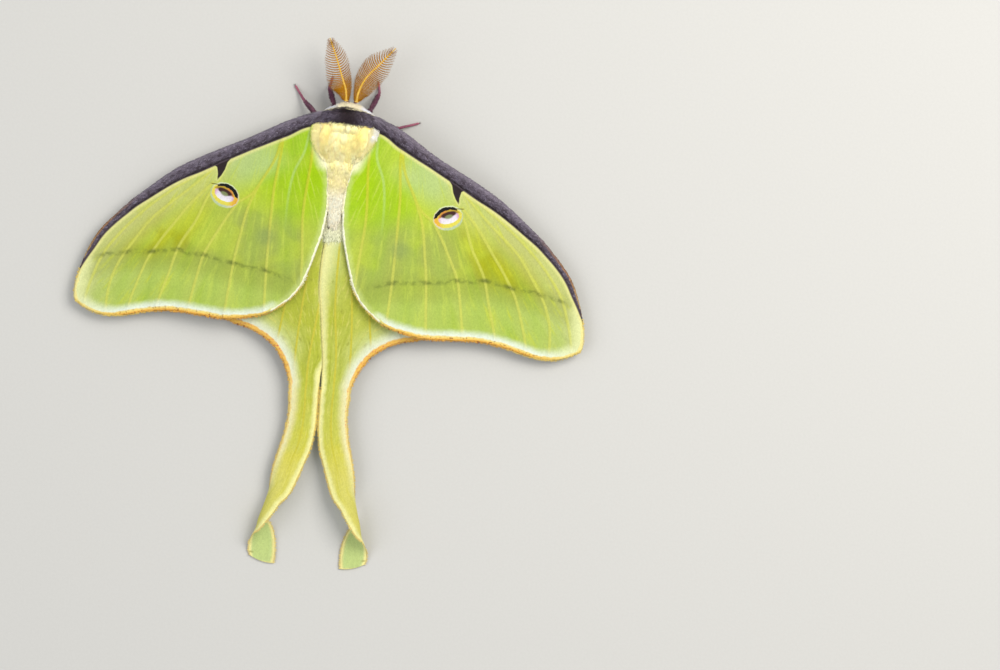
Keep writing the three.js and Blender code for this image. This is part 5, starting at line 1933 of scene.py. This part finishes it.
def leg_path(points):
    """A leg's middle line with rounded joints: its points, radii and how far down the leg they lie."""
    points = np.array(points, float)
    hip, knee, ankle, toe = points
    toe[2] = TOE_HEIGHT
    flat = unit((toe - ankle) * (1, 1, 0))
    heel = toe - flat * TOE_SOLE
    stretches = ((hip, knee), (knee, ankle), (ankle, heel), (heel, toe))
    path, radii, down = [], [], []
    for i, (start, end) in enumerate(stretches):
        part = min(i, 2)
        count = max(int(np.linalg.norm(end - start) / 0.07), 6)
        share = np.linspace(0, 1, count, endpoint=i == 3)
        path.append(start + share[:, None] * (end - start))
        whole = share
        if i >= 2:
            long = np.array([np.linalg.norm(heel - ankle), TOE_SOLE])
            whole = (share * long[i - 2] + (long[0] if i == 3 else 0)) / long.sum()
        size = np.interp(whole, (0, 0.5, 1), LEG_RADII[part])
        if part < 2:
            pinch = pinched(whole) * (i > 0) + pinched(1 - whole)
        else:
            pinch = 0.35 * np.exp(-((whole * 5 - np.round(whole * 5)) / 0.12) ** 2)
        radii.append(size * (1 - (1 - JOINT_PINCH) * pinch))
        down.append(part + whole)
    path, radii, down = np.concatenate(path), np.concatenate(radii), np.concatenate(down)
    for _ in range(10):
        path[1:-1] = (path[:-2] + 2 * path[1:-1] + path[2:]) / 4
    radii[-4:] *= (0.95, 0.85, 0.65, 0.35)
    radii[0] *= 0.6
    return path, radii, down


def make_claws(name, path, material):
    """Two hooked claws at the toe."""
    toe = path[-1]
    ahead = unit((path[-1] - path[-12]) * (1, 1, 0))
    sideways = np.cross(ahead, (0, 0, 1))
    claws = []
    for turn in (-1, 1):
        share = np.linspace(0, 1, 9)[:, None]
        bend = toe + ahead * 0.34 * share + sideways * turn * (0.06 + 0.1 * share)
        bend[:, 2] = 0.2 + 0.14 * np.sin(share[:, 0] * 2.2) - 0.27 * share[:, 0] ** 2
        claws.append(loft_skin(tube_rings(bend, 0.055 * (1.05 - share[:, 0]), 8)))
    (first, faces, flat), (second, more_faces, more_flat) = claws
    piece = make_piece(
        f"{name}_claws", turned(np.vstack([first, second])), np.vstack([faces, more_faces + len(first)]),
        material, np.concatenate([flat * (0.48, 1), more_flat * (0.48, 1) + (0.5, 0)]))


def make_leg(name, points, materials, rng):
    """A leg's skin, its short coat and its claws."""
    skin_material, hair_material, claw_material = materials
    side = SIDES[name.split("_")[1]]
    path, radii, down = leg_path(points)
    path = path * (side, 1, 1)
    rings = tube_rings(path, radii, LEG_AROUND)
    rings[..., 2] = np.maximum(rings[..., 2], 0.012)
    skin = loft_skin(rings)
    fields = {"place": skin[0], "down_leg": np.concatenate([np.repeat(down, LEG_AROUND), down[[0, -1]]])}
    leg = skin_piece(f"{name}_skin", skin, skin_material, fields)
    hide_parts(f"{name}_femur", f"{name}_tibia", f"{name}_tarsus")

    def density(p, n):
        ring = np.argmin(np.linalg.norm(p[:, None] - path[None, ::3], axis=2), axis=1) * 3
        return np.where(down[ring] < 2, 1.0, 0.55) * (p[:, 2] > 0.1)

    rooted = scatter(skin, 1500, rng, density)
    nearest_ring = np.argmin(np.linalg.norm(rooted[0][:, None] - path[None], axis=2), axis=1)
    at = down[nearest_ring]
    lie = np.gradient(path, axis=0)[nearest_ring]
    length = np.interp(at, (0, 0.9, 1.0, 1.7, 2.0, 3.0), (0.7, 0.6, 0.4, 0.42, 0.22, 0.16))
    length = length * rng.uniform(0.7, 1.3, len(at))
    grow_coat(f"{name}_hair", hair_material, rooted, lie, length, 0.05, rng, lift=0.3, end_lift=0.2,
              clumps=160, pull=0.35, sink=0.05, fields={"down_leg": at})
    make_claws(name, path, claw_material)


def make_claw_material():
    """Dark horn with a dull gloss."""
    material, graph, shader = new_material("claw_horn", 0.28)
    along = graph.noise(graph.place(), 6.0, 2.0)
    colour = graph.mix(graph.rise(along, 0.3, 0.7), "281210", "522b1e")
    graph.feed(shader.inputs["Base Color"], colour)
    graph.feed(shader.inputs["Roughness"], graph.rise(along, 0.3, 0.7, 0.22, 0.4))
    add_bump(graph, shader, along, 0.3, 0.01)
    return material


def make_legs(rng):
    """All six legs, in shared materials."""
    down = {"Down leg": "down_leg"}
    materials = (
        make_skin_material("leg_skin", LEG_MARKINGS, down),
        make_hair_material("leg_hair", LEG_MARKINGS, 0.2, 0.4, down),
        make_claw_material(),
    )
    for name, points in LEGS.items():
        make_leg(name, points, materials, rng)


PALP = [(0.5, 5.1, 3.4), (0.6, 5.7, 3.0), (0.65, 6.3, 2.9)]


def make_palps(rng):
    """The short hairy palps under the face."""
    material, graph, shader = new_material("palp_hair", 0.6, Sheen_Weight=0.2)
    place = graph.place()
    tone = graph.rise(graph.noise(place, 3.0), 0.35, 0.65)
    colour = graph.mix(tone, "7f4458", "a77279")
    graph.feed(shader.inputs["Base Color"], colour)
    add_bump(graph, shader, graph.noise(graph.stretched(place, (8.0, 2.0, 8.0)), 1.0), 0.6, 0.05)
    for name, side in SIDES.items():
        share = np.linspace(0, 1, 24)
        path = through(PALP)(share) * (side, 1, 1)
        ends = np.minimum(share * 9 + 0.3, (1 - share) * 6 + 0.15)
        radii = lerp(0.33, 0.2, share) * np.sqrt(np.clip(ends, 0, 1))
        skin = loft_skin(tube_rings(path, radii, 14))
        palp = skin_piece(f"palp_skin_{name}", skin, material)
        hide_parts(f"palp_{name}")
        rooted = scatter(skin, 420, rng)
        grow_coat(f"palp_hair_{name}", material, rooted, (0, 1, -0.3), 0.35, 0.05, rng,
                  lift=0.35, end_lift=0.1, clumps=40, sink=0.04)


def make_eyes():
    """Compound eyes: dark, glossy and finely faceted."""
    material, graph, shader = new_material("compound_eye", 0.16, Coat_Weight=0.5, Coat_Roughness=0.08)
    place = graph.place()
    facets = graph.cells(place, 16.0)
    deep = graph.noise(place, 1.1, 2.0)
    colour = graph.mix(graph.rise(deep, 0.35, 0.65), "1e0f0b", "381f15")
    tone = graph.times(graph.separate(facets["Color"])[0], 0.35)
    colour = graph.tint(colour, tone, "62442e")
    graph.feed(shader.inputs["Base Color"], colour)
    graph.feed(shader.inputs["Roughness"], graph.rise(facets["Distance"], 0.1, 0.7, 0.12, 0.4))
    add_bump(graph, shader, graph.fall(facets["Distance"], 0.0, 0.8), 0.6, 0.02)
    down = np.linspace(0.05, math.pi - 0.05, 40)
    for name, side in SIDES.items():
        centre = EYE_CENTRE * (side, 1, 1)
        path = centre + np.column_stack([0 * down, np.cos(down) * EYE_RADII[1], 0 * down])
        globe = tube_rings(path, np.sin(down) * EYE_RADII[0], 56, EYE_RADII[2] / EYE_RADII[0])
        eye = skin_piece(f"eye_globe_{name}", loft_skin(globe), material)
        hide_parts(f"eye_{name}")


# ---- Floor, light and camera ----
CAMERA_HEIGHT = 464
CAMERA_AIM = (29.08, -29.79)
CAMERA_TURN = math.radians(5.87)
LENS = 100
FLOOR_REACH = 3.0  # metres to each side


def make_floor():
    """A wide pale floor with a faint speckle."""
    material, graph, shader = new_material("pale_floor", 0.75, Specular_IOR_Level=0.25)
    speckle = graph.rise(graph.noise(graph.place(), 2.5, 3.0), 0.3, 0.7)
    graph.feed(shader.inputs["Base Color"], graph.mix(speckle, "b9b7b2", "bbb9b4"))
    mesh = bpy.data.meshes.new("floor")
    reach = FLOOR_REACH
    corners = [(-reach, -reach, 0), (reach, -reach, 0), (reach, reach, 0), (-reach, reach, 0)]
    mesh.from_pydata(corners, [], [(0, 1, 2, 3)])
    mesh.materials.append(material)
    floor = bpy.data.objects.new("floor", mesh)
    bpy.context.scene.collection.objects.link(floor)


def add_softbox(name, place, size, power, colour):
    """A square area light, aimed at the middle of the object."""
    light = bpy.data.lights.new(name, "AREA")
    light.shape = "SQUARE"
    light.size = size
    light.energy = power
    light.color = colour
    lamp = bpy.data.objects.new(name, light)
    lamp.location = place
    lamp.rotation_euler = (-Vector(place)).to_track_quat("-Z", "Y").to_euler()
    bpy.context.scene.collection.objects.link(lamp)


def light_scene():
    """A soft sky, a warm key light behind and to the right, and a cooler fill on the left."""
    world = bpy.data.worlds.new("studio")
    world.use_nodes = True
    sky = world.node_tree.nodes["Background"]
    sky.inputs["Color"].default_value = (0.93, 0.96, 1.0, 1.0)
    sky.inputs["Strength"].default_value = 0.66
    bpy.context.scene.world = world
    add_softbox("key", (0.22, 0.16, 0.34), 0.26, 1.83, (1.0, 0.98, 0.94))
    add_softbox("fill", (-0.50, -0.15, 0.50), 0.6, 2.16, (0.95, 0.97, 1.0))
    bpy.context.scene.view_settings.view_transform = "Standard"


def place_camera():
    """The camera looks straight down, turned so that the moth lies aslant in the picture."""
    camera = bpy.data.cameras.new("camera")
    camera.lens = LENS
    camera.sensor_width = 36
    camera.clip_start = 0.01
    eye = bpy.data.objects.new("camera", camera)
    eye.location = (np.array([*CAMERA_AIM, CAMERA_HEIGHT]) + ORIGIN) * MM
    eye.rotation_euler = (0, 0, CAMERA_TURN)
    bpy.context.scene.collection.objects.link(eye)
    bpy.context.scene.camera = eye


# ---- Assembly ----
make_floor()
light_scene()
place_camera()

forewing_material = make_forewing_material()
hindwing_material = make_hindwing_material()
costa_material = make_costa_material()
vein_fields = {"Round": "round", "Along": "along"}
costa_hair = make_hair_material("costa_scales", COSTA_MARKINGS, 0.1, 0.5, vein_fields)
fringe_material = make_fringe_material()
forewing_plan = fill_outline(forewing_outline())
wool_material = make_wing_wool_material()
for side_name in SIDES:
    forewing, fore_rims = make_forewing(side_name, forewing_plan, forewing_material)
    hindwing, hind_rims = make_hindwing(side_name, hindwing_material)
    make_fringe(f"forewing_{side_name}", fore_rims, turned, fringe_material,
                np.random.default_rng(71))
    make_fringe(f"hindwing_{side_name}", hind_rims, swayed, fringe_material,
                np.random.default_rng(72))
    costa_skin, costa_fields = make_costa(side_name, costa_material)
    make_costa_scales(side_name, costa_skin, costa_fields, costa_hair, np.random.default_rng(61))
    make_wing_wool(side_name, forewing, hindwing, wool_material, np.random.default_rng(51))
make_body(np.random.default_rng(11))
antenna_material = make_antenna_material()
for side_name in SIDES:
    make_antenna(side_name, antenna_material, np.random.default_rng(21))
make_legs(np.random.default_rng(31))
make_palps(np.random.default_rng(41))
make_eyes()
